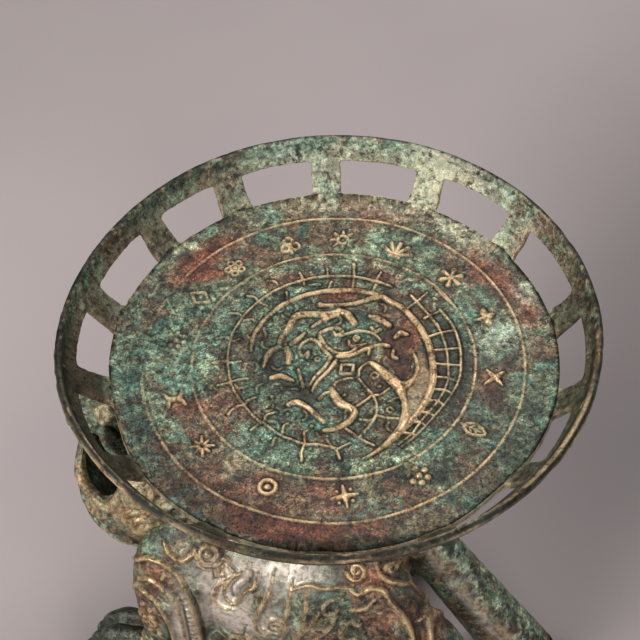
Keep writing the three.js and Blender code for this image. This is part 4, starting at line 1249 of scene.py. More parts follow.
def side_reliefs():
    ridge = Relief((-152, -96), (152, 98), 0.2)
    groove = Relief((-152, -96), (152, 98), 0.2)
    # shoulder: nested bands, grooves between them, rungs in the outer one
    ridge.line([(-99, 25), (-90.8, 31.0), (-82.1, 31.6), (-75.9, 29.4), (-70.8, 24.8), (-66.5, 15), (-64.6, 0), (-64.4, -25), (-66, -48)], [1.4, 2.2, 2.2, 2.0, 1.8, 1.5], 1.0)
    groove.line([(-71, 26.8), (-65.2, 15.6), (-62.4, 0), (-62.4, -26), (-63.5, -50)], [1.2, 1.8, 2.0, 1.8, 1.0], 1.0)
    groove.line([(-88, 24.2), (-79.6, 20.8), (-72.8, 14.8), (-69.8, 4.9), (-69.6, -22.7), (-71, -48)], [0.9, 1.5, 1.6, 1.5, 0.9], 0.9)
    ridge.line([(-95, 17), (-88, 20.6), (-80.6, 17.6), (-74.6, 12), (-72.2, 3), (-72, -23), (-73.5, -46)], [1.4, 1.8, 1.8, 1.5], 0.8)
    groove.line([(-95.6, 7.4), (-86.5, 5.2), (-82.5, -6.3), (-81.1, -25), (-82.6, -44)], [0.9, 1.6, 1.7, 1.5, 0.8], 0.9)
    ridge.line([(-100, 4), (-96.5, 11), (-91.0, 10.2), (-84.8, 7.4), (-80.2, -4.8), (-78.6, -24), (-79.6, -42)], [1.5, 2.0, 1.9, 1.7, 1.4], 0.9)
    ridge.line(spiral(-91.5, -15, 7.0, 1.2, 1.9, 60), [1.8, 1.5, 1.2], 0.9)
    for x, s in ((-94, -1), (-89.5, -2.5), (-86.5, -26), (-92, -27)):
        ridge.dot(x, s, 1.3, 0.8)
    path = curve([(-84, 25.6), (-76.5, 21.6), (-70.6, 13), (-67.4, 2), (-67, -22), (-68.6, -44)], 1.0)
    for k in range(4, len(path) - 3, 5):
        d = path[k + 1] - path[k - 1]
        d /= np.linalg.norm(d)
        q = np.array([-d[1], d[0]]) * 1.5
        ridge.line([path[k] - q, path[k] + q], 1.1, 0.6)
    # flank: small hook, ring, square and scroll work, then the long ridges
    ridge.line([(-81, 41.5), (-77.6, 36.6), (-70.5, 34.6), (-65.6, 38.4)], [1.4, 2.2, 2.2, 1.4], 1.0)
    ridge.line([(-58 + 4.2 * math.cos(a), 38.6 + 4.2 * math.sin(a)) for a in np.linspace(0, 6.28, 13)[:-1]], 1.4, 0.8, closed=True)
    ridge.dot(-58, 38.6, 1.5, 0.7)
    ridge.line([(-64.5, 40.5), (-62.2, 33.6), (-56.1, 31.6), (-49.6, 36.4), (-46.4, 33.0), (-43.6, 28.6), (-50.6, 22.6), (-54.6, 15.2), (-51.0, 8.6), (-43.4, 8.8)], [1.3, 1.7, 1.7, 1.6, 1.4], 0.9)
    ridge.line([(-53.4, 31.6), (-49.8, 32.4), (-48.6, 28.2), (-52.2, 26.8)], 2.2, 0.7, closed=True, sharp=True)
    groove.line([(-55.2, 33.0), (-54.0, 25.2), (-48.0, 26.4)], 0.8, 0.7, sharp=True)
    ridge.line([(-39.6, 31.4), (-45.6, 25.8), (-48.4, 18.4), (-43.9, 13.0), (-39.0, 17.6), (-36.6, 22.6), (-32.4, 25.4), (-31.4, 32.4)], [1.2, 1.9, 2.1, 1.9, 1.6, 1.2], 1.0)
    groove.line([(-41.0, 27.8), (-44.6, 22.6), (-44.2, 17.4), (-41.4, 17.4), (-39.4, 22.4), (-35.2, 26.6), (-34.0, 32.6)], [0.8, 1.4, 1.8, 1.2, 2.2, 2.6, 1.0], 1.0)
    groove.line([(-43.8, 11.2), (-45.4, 7.4), (-47.6, 5.0)], [1.3, 0.9, 0.5], 0.8)
    ridge.line([(-22.4, 35.6), (-23.4, 25.3), (-27.6, 15.8), (-31.0, 6.3), (-30.0, -1.7), (-26.4, -5.2)], [1.2, 1.8, 2.0, 2.0, 1.8], 1.0)
    ridge.line(spiral(-20.2, 4.6, 7.6, 1.0, 1.8, 215, hand=1), [1.9, 1.6, 1.2], 1.0)
    groove.line([(-36.4, -1.0), (-38.6, -8.4), (-37.8, -15.0)], [1.4, 1.2, 0.6], 0.9)
    ridge.line([(-12.6, 33.0), (-13, 22.3), (-15.4, 7.3), (-17.1, -7.9), (-20.4, -24), (-26, -36)], [1.4, 1.8, 1.8, 1.6, 1.2], 0.9)
    ridge.line([(-12.8, 27.6), (-3.7, 31.6), (4.5, 31.2), (11.3, 32.4), (17.1, 32.4), (22.4, 30.3), (28.1, 34.8), (34.2, 34.6), (38.8, 28.3), (45.4, 18.6), (50, 9), (53.4, -3), (54.6, -16)], [1.6, 2.0, 2.0, 2.2, 2.6, 2.4, 2.0, 1.6], 1.1)
    ridge.line([(2.8, 18.0), (-1.0, 10.0), (-6.2, 2.5), (-12.6, -5.4)], [1.0, 1.7, 1.7, 1.1], 0.9)
    ridge.line(spiral(20.0, 41.6, 5.6, 1.0, 1.5, 190, hand=1), [1.8, 1.5, 1.2], 1.0)
    ridge.line([(29.0, 52), (29.8, 46.6), (32.6, 42.0), (37.0, 39.4), (42.4, 38.0), (48.8, 33.6)], [1.4, 2.2, 2.4, 2.0, 1.2], 1.0)
    ridge.line([(36.4, 50.5), (40.6, 49.0), (45.4, 44.6), (47.4, 39.8)], [1.2, 1.8, 1.6, 1.0], 0.9)
    ridge.line(spiral(37.0, 45.6, 3.2, 0.8, 1.2, 200, hand=-1), 1.3, 0.8)
    ridge.line([(31.0, 29.2), (26.8, 23.6), (18.6, 19.4)], [1.0, 1.8, 1.0], 0.9)
    ridge.line([(12.0, 20.0), (9.0, 9.0), (2.4, 0.0), (-3.0, -5.0)], [1.0, 1.8, 1.6, 0.9], 0.9)
    ridge.line([(-4.6, 31.4), (-4.0, 22.6), (-5.4, 9), (-7.8, -1.0), (-10.4, -13)], [1.1, 1.5, 1.5, 1.0], 0.7)
    ridge.line([(14.6, 26.0), (8.6, 25.0), (4.8, 21.0), (6.4, 16.6), (10.6, 17.4)], [1.0, 1.5, 1.3, 1.0], 0.8)
    ridge.line([(24.0, 12.0), (16.4, 9.6), (13.6, 2.4), (17.0, -4.4), (23.6, -4.0)], [1.1, 1.7, 1.7, 1.2], 0.9)
    groove.line([(25.0, 15.6), (27.4, 6.0), (31.4, -4.0), (36.6, -13.0)], [0.8, 1.3, 1.3, 0.7], 0.8)
    # haunch
    groove.line([(48.2, 20.4), (52.8, 10.6), (56.0, -1.4), (57.2, -15.0), (56.2, -28)], [0.8, 1.4, 1.5, 1.4, 0.8], 0.9)
    ridge.line([(50.3, 31.6), (54.7, 16.8), (58.6, 6.6), (61.6, -6.0), (62.4, -20.0), (60.8, -32.0)], [1.2, 1.7, 1.7, 1.4], 0.9)
    ridge.line([(53.0, 12.8), (59.8, 11.2), (66.5, 3.4), (71.6, -6.6)], [1.0, 1.6, 1.5, 1.0], 0.8)
    ridge.line(spiral(43.4, -9.0, 11.0, 1.2, 2.1, 70, n=40, hand=1), [1.6, 1.8, 1.6, 1.2], 1.0)
    for s0 in (-30.0, -35.0):
        ridge.line([(34, s0 + 2), (44, s0 - 1.0), (56, s0 - 1.6), (70, s0 + 2), (78, s0 + 5)], 1.5, 0.7)
    # lower flank and belly: two large scrolls and a border line
    ridge.line(spiral(-40.0, -24.0, 13.0, 1.4, 2.2, 110, n=44, hand=-1), [1.6, 1.9, 1.7, 1.3], 1.0)
    ridge.line(spiral(4.0, -27.0, 12.5, 1.4, 2.1, 40, n=44, hand=1), [1.6, 1.9, 1.7, 1.3], 1.0)
    ridge.line([(-58, -40), (-46, -47), (-30, -50), (-12, -48), (6, -45), (20, -38), (28, -26)], [1.2, 2.0, 2.0, 2.0, 1.2], 0.9)
    for k in range(12):
        x = -50 + 6.2 * k
        ridge.line([(x - 2.6, -53.2), (x, -56.4), (x + 2.6, -53.2)], [0.9, 1.5, 0.9], 0.7)
    # back: a row of short strokes each side of the spine
    for k in range(8):
        x = -82 + 6.4 * k
        ridge.line([(x + 3, 66), (x - 2.4, 73), (x + 1.4, 80)], [1.0, 1.8, 1.0], 0.8)
    ridge.line([(-90, 93.6), (-60, 93.9), (-32, 93.9)], [2.4, 3.2, 2.0], 1.2)
    ridge.line([(27, 93.9), (34, 93.8), (41, 93.0)], [2.0, 2.6, 1.6], 1.2)
    ridge.line([(-62, 62), (-40, 58), (-20, 60), (0, 57), (20, 60), (30, 56)], [1.2, 1.8, 1.8, 1.2], 0.8)
    for cx in (-50, -24, 6):
        ridge.line(spiral(cx, 50, 5.4, 1.0, 1.5, 250, hand=1), [1.6, 1.3, 1.1], 0.8)
    # lower legs: cuffs and short strokes
    for x0, x1 in ((-106, -54), (36, 80)):
        for s0 in (-49.5, -54.5):
            ridge.line([(x0, s0), (x1, s0)], 1.9, 0.9)
        for k in range(9):
            x = x0 + 3 + (x1 - x0 - 6) * k / 8
            ridge.dot(x, -52.0, 1.0, 0.6)
            ridge.line([(x, -58.2), (x - 1.6, -63.4), (x - 0.4, -67.0)], [1.5, 1.3, 0.7], 0.7)
    return ridge, groove


def blob2(x, s, cx, cs, sx, ss):
    return np.exp(-(((x - cx) / sx) ** 2) - ((s - cs) / ss) ** 2)


def beast_masks(p, shift=0.0):
    x, s = side_place(p)
    x = x - shift
    w = 4 * lumps(p, 12, 205)
    x, s = x + w, s + 4 * lumps(p, 12, 206)
    # bare polished metal and a painted highlight on the flank and shoulder, on the side lit by the key light
    shine = (
        1.0 * blob2(x, s, -42, 4, 20, 14) + 0.9 * blob2(x, s, -54, 26, 12, 9) + 0.8 * blob2(x, s, -72, -14, 6, 24)
        + 0.7 * blob2(x, s, -12, 36, 16, 7) + 0.35 * blob2(x, s, -30, 30, 18, 10) + 0.35 * blob2(x, s, 40, -30, 20, 16)
        + 0.3 * blob2(x, s, -20, -34, 26, 12) - 0.55 * blob2(x, s, -32, 14, 5, 14) - 0.4 * blob2(x, s, -62, 20, 4, 12)
    )
    red = (
        0.9 * blob2(x, s, 28, 40, 12, 8) + 0.8 * blob2(x, s, -92, -10, 8, 18) + 0.6 * blob2(x, s, 0, -2, 12, 14)
        + 0.7 * blob2(x, s, 40, 22, 16, 12) + 0.5 * blob2(x, s, -84, 24, 10, 8) + 0.6 * blob2(x, s, 62, 4, 9, 14)
        + 0.5 * blob2(x, s, 14, -40, 18, 12) + 0.4 * blob2(x, s, -60, 60, 20, 12) + 0.45 * blob2(x, s, -84, -62, 16, 10)
    )
    teal = (
        0.7 * blob2(x, s, -18, 18, 9, 16) + 0.6 * blob2(x, s, -32, 14, 6, 14) + 0.5 * blob2(x, s, -68, 30, 8, 6) + 0.6 * blob2(x, s, 12, 16, 12, 10)
        + 0.7 * blob2(x, s, -122, -76, 22, 12) + 0.5 * blob2(x, s, -128, 40, 14, 20) + 0.4 * blob2(x, s, -40, -46, 26, 8)
        + 0.5 * blob2(x, s, 56, -58, 20, 14) + 0.4 * blob2(x, s, -10, 60, 26, 14)
    )
    teal = teal + 0.5 * blob2(x, s, -116, 46, 7, 8)
    dark = 0.8 * smoothstep(64, 26, p[:, 2]) * smoothstep(-60, -110, p[:, 0]) + 0.3 * smoothstep(30, 0, p[:, 2])
    # a painted pool of light: a pale run down the back of the neck, where it is lit in the gap under the tray
    one, two = np.array([-97.0, 33, 156]), np.array([-56.0, 35, 132])
    q = np.column_stack([p[:, 0], abs(p[:, 1]), p[:, 2]])
    k = np.clip((q - one) @ (two - one) / ((two - one) @ (two - one)), 0, 1)
    pale = 0.5 * np.exp(-((np.linalg.norm(q - one - k[:, None] * (two - one), axis=1) / 9) ** 2))
    return {k: np.clip(v, 0, 1) for k, v in (("shine", shine), ("red", red), ("teal", teal), ("pale", pale), ("dark", dark))}


def dressed(name, shell, material, body, nodes, shift=0.0, relief=1.0, rough=0.22, fade=None, extra=None, masks=None):
    """Cuts the side drawing into a skin, roughens it as a casting and marks worn and sheltered places."""
    v, q, t = shell
    n = normals(v, q, t)
    x, s = side_place(v)
    x = x - shift
    a, b = RIDGE.at(x, s), GROOVE.at(x, s)
    ha, hb = RIDGE.at(x, s, RIDGE.high), GROOVE.at(x, s, GROOVE.high)
    face = smoothstep(0.12, 0.42, np.hypot(n[:, 1], np.where(v[:, 2] > 90, np.maximum(n[:, 2], 0), 0)))
    gain = face * relief
    if fade is not None:
        gain = gain * fade(v, n)
    worn = 0.5 + 0.5 * lumps(v, 10, 211)
    a = a + 0.12 + 0.08 * lumps(v, 3.0, 212, 2)
    h = gain * (2.2 * ha * (0.65 + 0.6 * worn) * (0.6 * smoothstep(-0.8, 0.4, a) + 0.5 * smoothstep(-0.2, 1.0, a)) - 1.5 * hb * smoothstep(-0.6, 0.35, b))
    wear_and_highlight = gain * smoothstep(-0.25, 0.3, a) * np.clip(0.35 + 1.0 * worn, 0, 1)
    cav = gain * np.maximum(np.clip(0.35 + 0.5 * lumps(v, 7, 213), 0.1, 0.8) * np.exp(-(((a + 0.95) / 0.6) ** 2)) * (a < 0), 0.62 * smoothstep(-0.5, 0.1, b))
    h = h + rough * lumps(v, 9, 221) + 0.5 * rough * lumps(v, 3.2, 222, 2)
    if extra is not None:
        dh, dw, dc = extra(v, n)
        h, wear_and_highlight, cav = h + dh, np.maximum(wear_and_highlight, dw), np.maximum(cav, dc)
    p = v + n * h[:, None]
    p[:, 2] = np.where(v[:, 2] < 0.6, v[:, 2], np.maximum(p[:, 2], 0.0))
    attrs = {"wear_and_highlight": np.clip(wear_and_highlight, 0, 1), "cav": np.clip(cav, 0, 1), **(beast_masks(v, shift) if masks is None else masks(v))}
    print(name, "triangles", 2 * len(q) + len(t))
    return piece(name, p, q, t, attrs, material, body, nodes)


def body_loft(grow, around, rows):
    """The body's skin, with its points closest together on the flanks and the back."""
    s = np.linspace(0, 1, 900)
    r = along(BODY, s)
    ln = np.concatenate([[0], np.cumsum(np.hypot(np.diff(r[:, 0]), np.diff(r[:, 2])) * np.where(r[1:, 0] > -84, 1.0, 0.5))])
    s = np.interp(np.linspace(0, ln[-1], rows + 2)[1:-1], ln, s)
    r = along(BODY, s)
    turn = np.linspace(0, 2 * np.pi, 721)
    tight = 1 - 0.62 * smoothstep(-0.62, -0.85, np.sin(turn))
    run = np.concatenate([[0], np.cumsum(0.5 * (tight[1:] + tight[:-1]))])
    a = np.interp((np.arange(around) + 0.5) / around * run[-1], run, turn)
    soft = lambda v: np.sign(v) * abs(v) ** 0.9
    c, d = soft(np.cos(a)), soft(np.sin(a))
    half = np.maximum(r[:, 2] + grow, 0.3)
    up, down = np.maximum(r[:, 3] + grow, 0.3), np.maximum(r[:, 4] + grow, 0.3)
    y = half[:, None] * c[None]
    z = r[:, 1:2] + np.where(d > 0, up[:, None], down[:, None]) * d[None]
    x = np.repeat(r[:, :1], around, 1)
    return rows_mesh(np.stack([x, y, z], -1), [BODY[0][0] - grow, 0, 94], [BODY[-1][0] + grow, 0, 93])


def rod(radius, z0, z1, around=64):
    return lathe([(0, z0), (radius, z0), (radius, z1), (0, z1)], around, 4.0)


def block(half_x, half_y, z0, z1, corner):
    """An upright block with rounded corners."""
    ring = []
    for k in range(4):
        cx, cy = (half_x - corner) * (1, -1, -1, 1)[k], (half_y - corner) * (1, 1, -1, -1)[k]
        for a in np.linspace(0, math.pi / 2, 7):
            ring.append((cx + corner * math.cos(a + k * math.pi / 2), cy + corner * math.sin(a + k * math.pi / 2)))
    rows = np.array([[(x, y, z) for x, y in ring] for z in np.linspace(z0, z1, 8)])
    return rows_mesh(rows, [0, 0, z0], [0, 0, z1])


def leg_skin(table, toes):
    rows, around = 120, 96
    s = np.linspace(0, 1, rows + 2)[1:-1]
    r = along(table, s)
    a = 2 * np.pi * np.arange(around) / around
    x = r[:, 1:2] + np.maximum(r[:, 3:4], 0.2) * np.cos(a)
    y = r[:, 2:3] + np.maximum(r[:, 4:5], 0.2) * np.sin(a)
    z = np.repeat(np.maximum(r[:, :1], 0), around, 1)
    e0, e1 = table[0], table[-1]
    shells = [rows_mesh(np.stack([x, y, z], -1), [e0[1], e0[2], e0[0]], [e1[1], e1[2], e1[0]])]
    tx, long, wide, tall, mid, spread = toes
    ly = table[-1][2]
    for k in (-1, 0, 1):
        cx, cy = tx + 3 * abs(k), ly + k * spread
        shells.append(egg((cx, cy, mid), (long, wide, tall), 40, 30))
        shells.append(egg((cx - 0.30 * long, cy, mid + 6.0), (0.48 * long, wide * 0.86, tall * 0.66), 32, 24))  # knuckle
        tip = cx - long
        shells.append(tube([(tip + 9, cy, 13.0), (tip + 2.5, cy, 11.0), (tip - 1.6, cy, 6.6), (tip - 2.6, cy, 2.2)], [3.6, 3.5, 2.6, 0.9]))
    # dewclaw behind the foot
    shells.append(tube([(table[-1][1] + 12, ly, 16), (table[-1][1] + 20, ly, 11), (table[-1][1] + 22, ly, 5)], [4.2, 3.4, 1.4]))
    v, q, t = skinned(shells, 0.85)
    v = smoothed(v, q, t, 4)
    flat = v[:, 2] < 0.25
    v[flat, 2] = 0.0
    return v, q, t


def make_beast():
    # torso: hollow, with a pad for the bolt and a hole in the belly
    shell = body_loft(0.0, 440, 196)
    for tool in (cut(body_loft(-5.0, 96, 60), rod(17, 135, 190)), block(18, 14, 12, 70, 3.0), rod(5.3, 105, 190)):
        shell = cut(shell, tool)

    def outside(v, n):
        mid = np.column_stack([np.clip(v[:, 0], -66, 16), 0 * v[:, 1], 0 * v[:, 2] + 88])
        return ((v - mid) * n).sum(1) > 12

    dressed("body_shell_cast", shell, BEAST, "stand", ["body_shell"], fade=outside)
    body = body_loft(-1.0, 120, 70)  # what is joined to the body stops just inside its skin

    front, hind = cut(leg_skin(FRONT_LEG, FRONT_TOES), body), leg_skin(HIND_LEG, HIND_TOES)
    pads = lambda v, n: smoothstep(14, 34, v[:, 2])
    dressed("leg_front_left_cast", front, BEAST, "stand", ["leg_front_left"], fade=pads)
    dressed("leg_front_right_cast", mirrored(front), BEAST, "stand", ["leg_front_right"], fade=pads)
    dressed("leg_hind_left_cast", cut(hind, body), BEAST, "stand", ["leg_hind_left"], fade=pads)
    v, q, t = mirrored(hind)
    dressed("leg_hind_right_cast", cut((v + [HIND_STEP, 0, 0], q, t), body), BEAST, "stand", ["leg_hind_right"], shift=HIND_STEP, fade=pads)

    # tail: a round bar that widens to a low tip curled on the ground
    root, end = np.array([30.8, 0.2, 122]), np.array([109.3, 0.2, -14])
    way = (end - root) / np.linalg.norm(end - root)
    bar = tube([root + way * 9, root + way * 14, root + way * 60, root + way * 110, end - way * 10], [12.8, 14.0, 15.0, 16.4, 17.6], 72, 1.5)
    tip = egg((122, -6, 1), (24, 11, 9), 60, 40)
    v, q, t = skinned([bar, tip], 0.95)
    v = smoothed(v, q, t, 3)
    v[:, 2] = np.maximum(v[:, 2], 0)
    left = np.cross(way, [0, -1, 0])  # the side that faces the head

    def tail_place(v):
        k = (v - root) @ way
        r = v - root - np.outer(k, way)
        a = np.degrees(np.arctan2(-r[:, 1], r @ left))  # 0 faces the head, 90 the near side
        return k, a + 5 * lumps(v, 9, 241)

    def tail_crumbs_and_highlight(v, n):
        a = tail_place(v)[1]
        some = smoothstep(0.0, 0.5, lumps(v, 2.4, 247)) * (0.5 * np.exp(-(((a - 88) / 30) ** 2)) + 0.35 * np.exp(-(((a - 140) / 14) ** 2)))
        # painted highlight along the tail's ridge, drawn as gold wear
        some = np.maximum(some, 0.62 * np.exp(-(((a - 124) / 15) ** 2)) * smoothstep(-0.35, 0.25, lumps(v, 4, 248)))
        return 0 * a, some, 0 * a

    def tail_masks(v):
        k, a = tail_place(v)
        return {
            "pale": np.clip(0.75 * np.exp(-(((a - 152) / 20) ** 2)) * smoothstep(-0.1, 0.4, lumps(v, 7, 244)), 0, 1),
            "teal": np.clip(0.6 * np.exp(-(((a - 168) / 30) ** 2)), 0, 1),
            "dark": np.clip(0.1 * np.exp(-(((a - 84) / 20) ** 2)) + 0.9 * smoothstep(0.05, 0.35, lumps(v, 6, 242)) * smoothstep(126, 136, a), 0, 1),
            # painted highlight strip along the tail's ridge, as pale bare metal
            "shine": np.clip(0.44 * np.exp(-(((a - 118) / 12) ** 2)) * smoothstep(10, 40, k) * smoothstep(-0.6, 0.1, lumps(v, 6, 246)), 0, 1),
            "red": 0.3 * smoothstep(0.2, 0.6, lumps(v, 14, 243)),
        }

    dressed("tail_bar_cast", cut((v, q, t), body), BEAST, "stand", ["tail_bar"], relief=0.0, rough=0.3, extra=tail_crumbs_and_highlight, masks=tail_masks)

    make_head(body)
    make_column(body)


HEAD_MID, HEAD_SEMI = np.array([-103.5, 0, 125.5]), np.array([40.5, 44, 47])


def on_head(x, z, side=-1, lift=0.0):
    """The point of the skull at x and z on one side, lifted off it."""
    u = 1 - ((x - HEAD_MID[0]) / HEAD_SEMI[0]) ** 2 - ((z - HEAD_MID[2]) / HEAD_SEMI[2]) ** 2
    p = np.array([x, side * HEAD_SEMI[1] * math.sqrt(max(u, 0.004)), z])
    n = (p - HEAD_MID) / HEAD_SEMI**2
    return p + lift * n / np.linalg.norm(n)


def ring_tube(mid, normal, radius, thick):
    n = np.asarray(normal, float) / np.linalg.norm(normal)
    a = np.cross(n, [0.2, 0.1, 0.97])
    a /= np.linalg.norm(a)
    b = np.cross(n, a)
    pts = [np.asarray(mid) + radius * (math.cos(k) * a + math.sin(k) * b) for k in np.linspace(0, 2 * math.pi, 25)]
    return tube(pts, thick)


def make_head(body):
    skull = egg(HEAD_MID, HEAD_SEMI, 120, 80)
    snout = egg((-121, 0, 160), (25, 13, 16), 80, 50)
    bridge = egg((-106, 0, 166), (20, 16, 10), 60, 40, turn_y(14))
    jaw = egg((-122.5, 0, 125), (18.5, 27.5, 18.5), 70, 50, turn_y(-18))
    neck = egg((-72, 0, 120), (24, 43, 30), 90, 60)
    base = skinned([skull, snout, bridge, jaw, neck], 1.2)
    base = (smoothed(*base, 6), base[1], base[2])
    base = cut(base, egg((-108, 0, 130), (31, 37, 37), 48, 32))
    for side in (-1, 1):  # hollows between the snout and the cheeks
        base = cut(base, egg((-111.5, side * 18.5, 171.5), (12, 6.5, 8), 40, 28, turn_z(side * 46)))
    m = np.array(MOUTH, float)
    slot_v = np.concatenate([np.column_stack([m[:, 0], np.full(len(m), y), m[:, 1]]) for y in (-70.0, 70.0)])
    k, i = len(m), np.arange(len(m))
    j = np.roll(i, -1)
    slot_q = np.column_stack([i, j, j + k, i + k])
    fan = np.column_stack([np.zeros(k - 2, int), i[2:], i[1:-1]])
    slot_t = np.concatenate([fan, fan[:, ::-1] + k])
    q3 = np.concatenate([slot_q[:, [0, 1, 2]], slot_q[:, [0, 2, 3]], slot_t])
    if np.einsum("ij,ij->i", slot_v[q3[:, 0]], np.cross(slot_v[q3[:, 1]], slot_v[q3[:, 2]])).sum() < 0:
        slot_q, slot_t = slot_q[:, ::-1], slot_t[:, ::-1]
    base = cut(base, (slot_v, slot_q, slot_t))
    shells, curls = [base], []
    mid = m.mean(0)
    for side in (-1, 1):
        h = lambda x, z, lift=0.0: on_head(x, z, side, lift)
        # lips round the mouth
        out = mid + (m - mid) * 1.16
        low = [out[k] for k in (8, 0, 1, 2, 3, 4, 5)]
        shells.append(tube([h(x, z, -0.6) for x, z in low], [2.0, 2.8, 3.1, 3.1, 3.0, 2.6, 1.8]))
        # eye, its lid and the brow that runs back to a curl
        e = HEAD_MID + HEAD_SEMI * np.array([0.13, side * 0.83, 0.545])
        n = (e - HEAD_MID) / HEAD_SEMI**2
        n /= np.linalg.norm(n)
        shells.append(egg(e + n * 0.5, (6.6, 6.6, 6.6), 40, 28))
        shells.append(ring_tube(e + n * 2.0, n, 7.4, 1.9))
        shells.append(egg(e + n * 6.6, (2.0, 2.0, 2.0), 20, 14))
        shells.append(tube([h(-104, 160, 1.0), h(-98, 161.5, 2.0), h(-90, 160, 1.6), h(-83, 154, 1.2), h(-80, 146, 0.8), h(-84, 141, 0.6), h(-88, 144, 0.4)],
                           [2.0, 3.4, 3.4, 3.0, 2.6, 2.2, 1.5]))
        # curl on the snout
        on_snout = lambda x, y: (x, y, 160.6 + 16 * math.sqrt(max(1 - ((x + 121) / 25) ** 2 - (y / 13) ** 2, 0.04)))
        curl = [on_snout(x, side * abs(y)) for x, y in spiral(-123.0, 7.4, 4.8, 1.0, 1.4, 200, n=22, hand=-side)]
        curls += curl
        shells.append(tube(curl, [1.6, 1.7, 1.5, 1.2]))
        # nostril and the curl beside it
        shells.append(ring_tube((-141.5, side * 6.4, 166), (-0.72, side * 0.45, 0.52), 3.8, 1.7))
        shells.append(tube([(-128, side * 13.0, 166), (-122, side * 13.8, 168.5), (-116.5, side * 14.4, 166), (-116, side * 14.0, 161), (-120.5, side * 13.4, 159.8), (-122.0, side * 13.0, 163)], [1.8, 2.3, 2.5, 2.3, 2.0, 1.4]))
        # cheek curl and whisker strands under the mouth
        shells.append(tube([h(x, z, 0.7) for x, z in spiral(-95, 131, 10.5, 1.6, 1.9, 150, n=26, hand=-1)], [1.5, 2.2, 2.0, 1.5]))
        for x0, z0, sweep in ((-138, 129, 0), (-134, 119, 1), (-126, 108, 2), (-114, 99, 3)):
            shells.append(tube([h(x0, z0, -0.5), h(x0 + 7, z0 - 3.5, -0.2), h(x0 + 15, z0 - 3.0, 0.0), h(x0 + 21, z0 + 1.5, 0.0), h(x0 + 21.5, z0 + 6.0, 0.0), h(x0 + 17.5, z0 + 6.4, 0.0)], [1.2, 1.8, 2.0, 1.8, 1.5, 1.0]))
        # mane locks behind the cheek
        for k in range(7):
            a = math.radians(-62 + 22 * k)
            u = lambda f, b: HEAD_MID + HEAD_SEMI * np.array([math.sqrt(1 - f * f), side * f * math.cos(b), f * math.sin(b)]) * 1.012
            shells.append(tube([u(0.97, a), u(0.9, a + 0.06), u(0.8, a + 0.02), u(0.7, a - 0.1), u(0.64, a - 0.22)], [1.4, 2.6, 3.0, 2.4, 1.0]))
    # ridge down the nose
    shells.append(tube([(-92, 0, 173), (-104, 0, 177), (-116, 0, 178), (-128, 0, 176), (-138, 0, 171)], [2.4, 2.6, 2.4, 2.2, 1.6]))
    v, q, t = skinned(shells, 0.85)
    v, q, t = cut((smoothed(v, q, t, 3), q, t), body)

    def cheeks(v, n):
        spots = 0
        for x, z, r in ((-102, 137, 10), (-101, 124, 8), (-97, 146, 7), (-123, 130, 5), (-131, 141, 5)):
            spots = spots + np.exp(-(((v[:, 0] - x) / r) ** 2) - ((v[:, 2] - z) / r) ** 2)
        y = abs(v[:, 1])
        near = np.full(len(v), 99.0)
        for c in curls:
            near = np.minimum(near, np.linalg.norm(v - np.array(c), axis=1))
        curl = smoothstep(2.4, 1.5, near)
        du, dv = v[:, 0] + 111.75, y - 17.0
        # painted shadow: black in the hollow beside the snout
        pit = np.exp(-(((0.755 * du + 0.656 * dv) / 10) ** 2) - ((0.755 * dv - 0.656 * du) / 6.0) ** 2) * smoothstep(155, 160, v[:, 2])
        # painted shade inside the hollow head
        inside = smoothstep(2, 8, 44 - np.sqrt((((v - HEAD_MID) / HEAD_SEMI) ** 2).sum(1)) * 45)
        wear_and_highlight = 0.9 * np.clip(spots, 0, 1) * smoothstep(0.34, 0.56, 0.5 + 0.5 * lumps(v, 6, 332))
        gilt = np.exp(-(((v[:, 0] + 102) / 10) ** 2) - ((v[:, 2] - 137) / 10) ** 2) * smoothstep(34, 38, y) * smoothstep(-0.5, 0.1, lumps(v, 5, 336))
        out = np.sqrt((((v - HEAD_MID) / HEAD_SEMI) ** 2).sum(1))
        high = smoothstep(1.012, 1.04, out) * smoothstep(22, 27, y) * smoothstep(-82, -86, v[:, 0]) * np.clip(0.55 + 0.5 * lumps(v, 6, 337), 0, 0.9)
        wear_and_highlight = np.maximum(np.maximum(np.maximum(wear_and_highlight, high) * (1 - pit), gilt), 0.4 * curl)
        # painted shade on the snout top, round the curls
        hush = np.exp(-(((v[:, 0] + 122) / 11) ** 2) - (y / 13) ** 2) * smoothstep(164, 170, v[:, 2]) * (1 - curl)
        return 0 * v[:, 0], wear_and_highlight, np.maximum(np.maximum(0.55 * inside, 0.45 * hush), np.clip(2.4 * pit, 0, 1))

    dressed("head_cast", (v, q, t), BEAST, "stand", ["head"], relief=0.0, rough=0.25, extra=cheeks)

    # ears: cupped leaves
    base, tip = np.array([-86.0, -28, 160]), np.array([-70.0, -46, 196])
    y = (tip - base) / np.linalg.norm(tip - base)
    x = np.cross([0.35, -0.2, 0], y)
    x /= np.linalg.norm(x)
    z = np.cross(x, y)
    rows, around = 60, 72
    grid = []
    for f in np.linspace(0, 1, rows + 2)[1:-1]:
        up = -8 + 47 * f
        half = 11.0 * (math.sin(math.pi * (0.20 + 0.80 * f)) ** 0.9) * (1 - 0.12 * f)
        thick = 2.5 * (1 - 0.45 * f) * min(1, 6 * f + 0.4)
        a = 2 * np.pi * np.arange(around) / around
        u, w = np.cos(a), np.sin(a)
        cup = 3.6 * (1 - u**2) * math.sin(math.pi * min(1, f * 1.05 + 0.05))
        off = thick * np.sign(w) * abs(w) ** 0.8 * (1 + 0.25 * (abs(u) > 0.8))
        grid.append(base + np.outer(half * u, x) + y * up + np.outer(off + cup - 1.2, z))
    shell = rows_mesh(np.array(grid), base + y * -8, base + y * 39.6)
    for side, s in (("left", shell), ("right", mirrored(shell))):
        v, q, t = skinned([s], 0.6)
        v = smoothed(v, q, t, 2)
        dressed(f"ear_{side}_cast", (v, q, t), BEAST, "stand", [f"ear_{side}"], relief=0.0, rough=0.14)


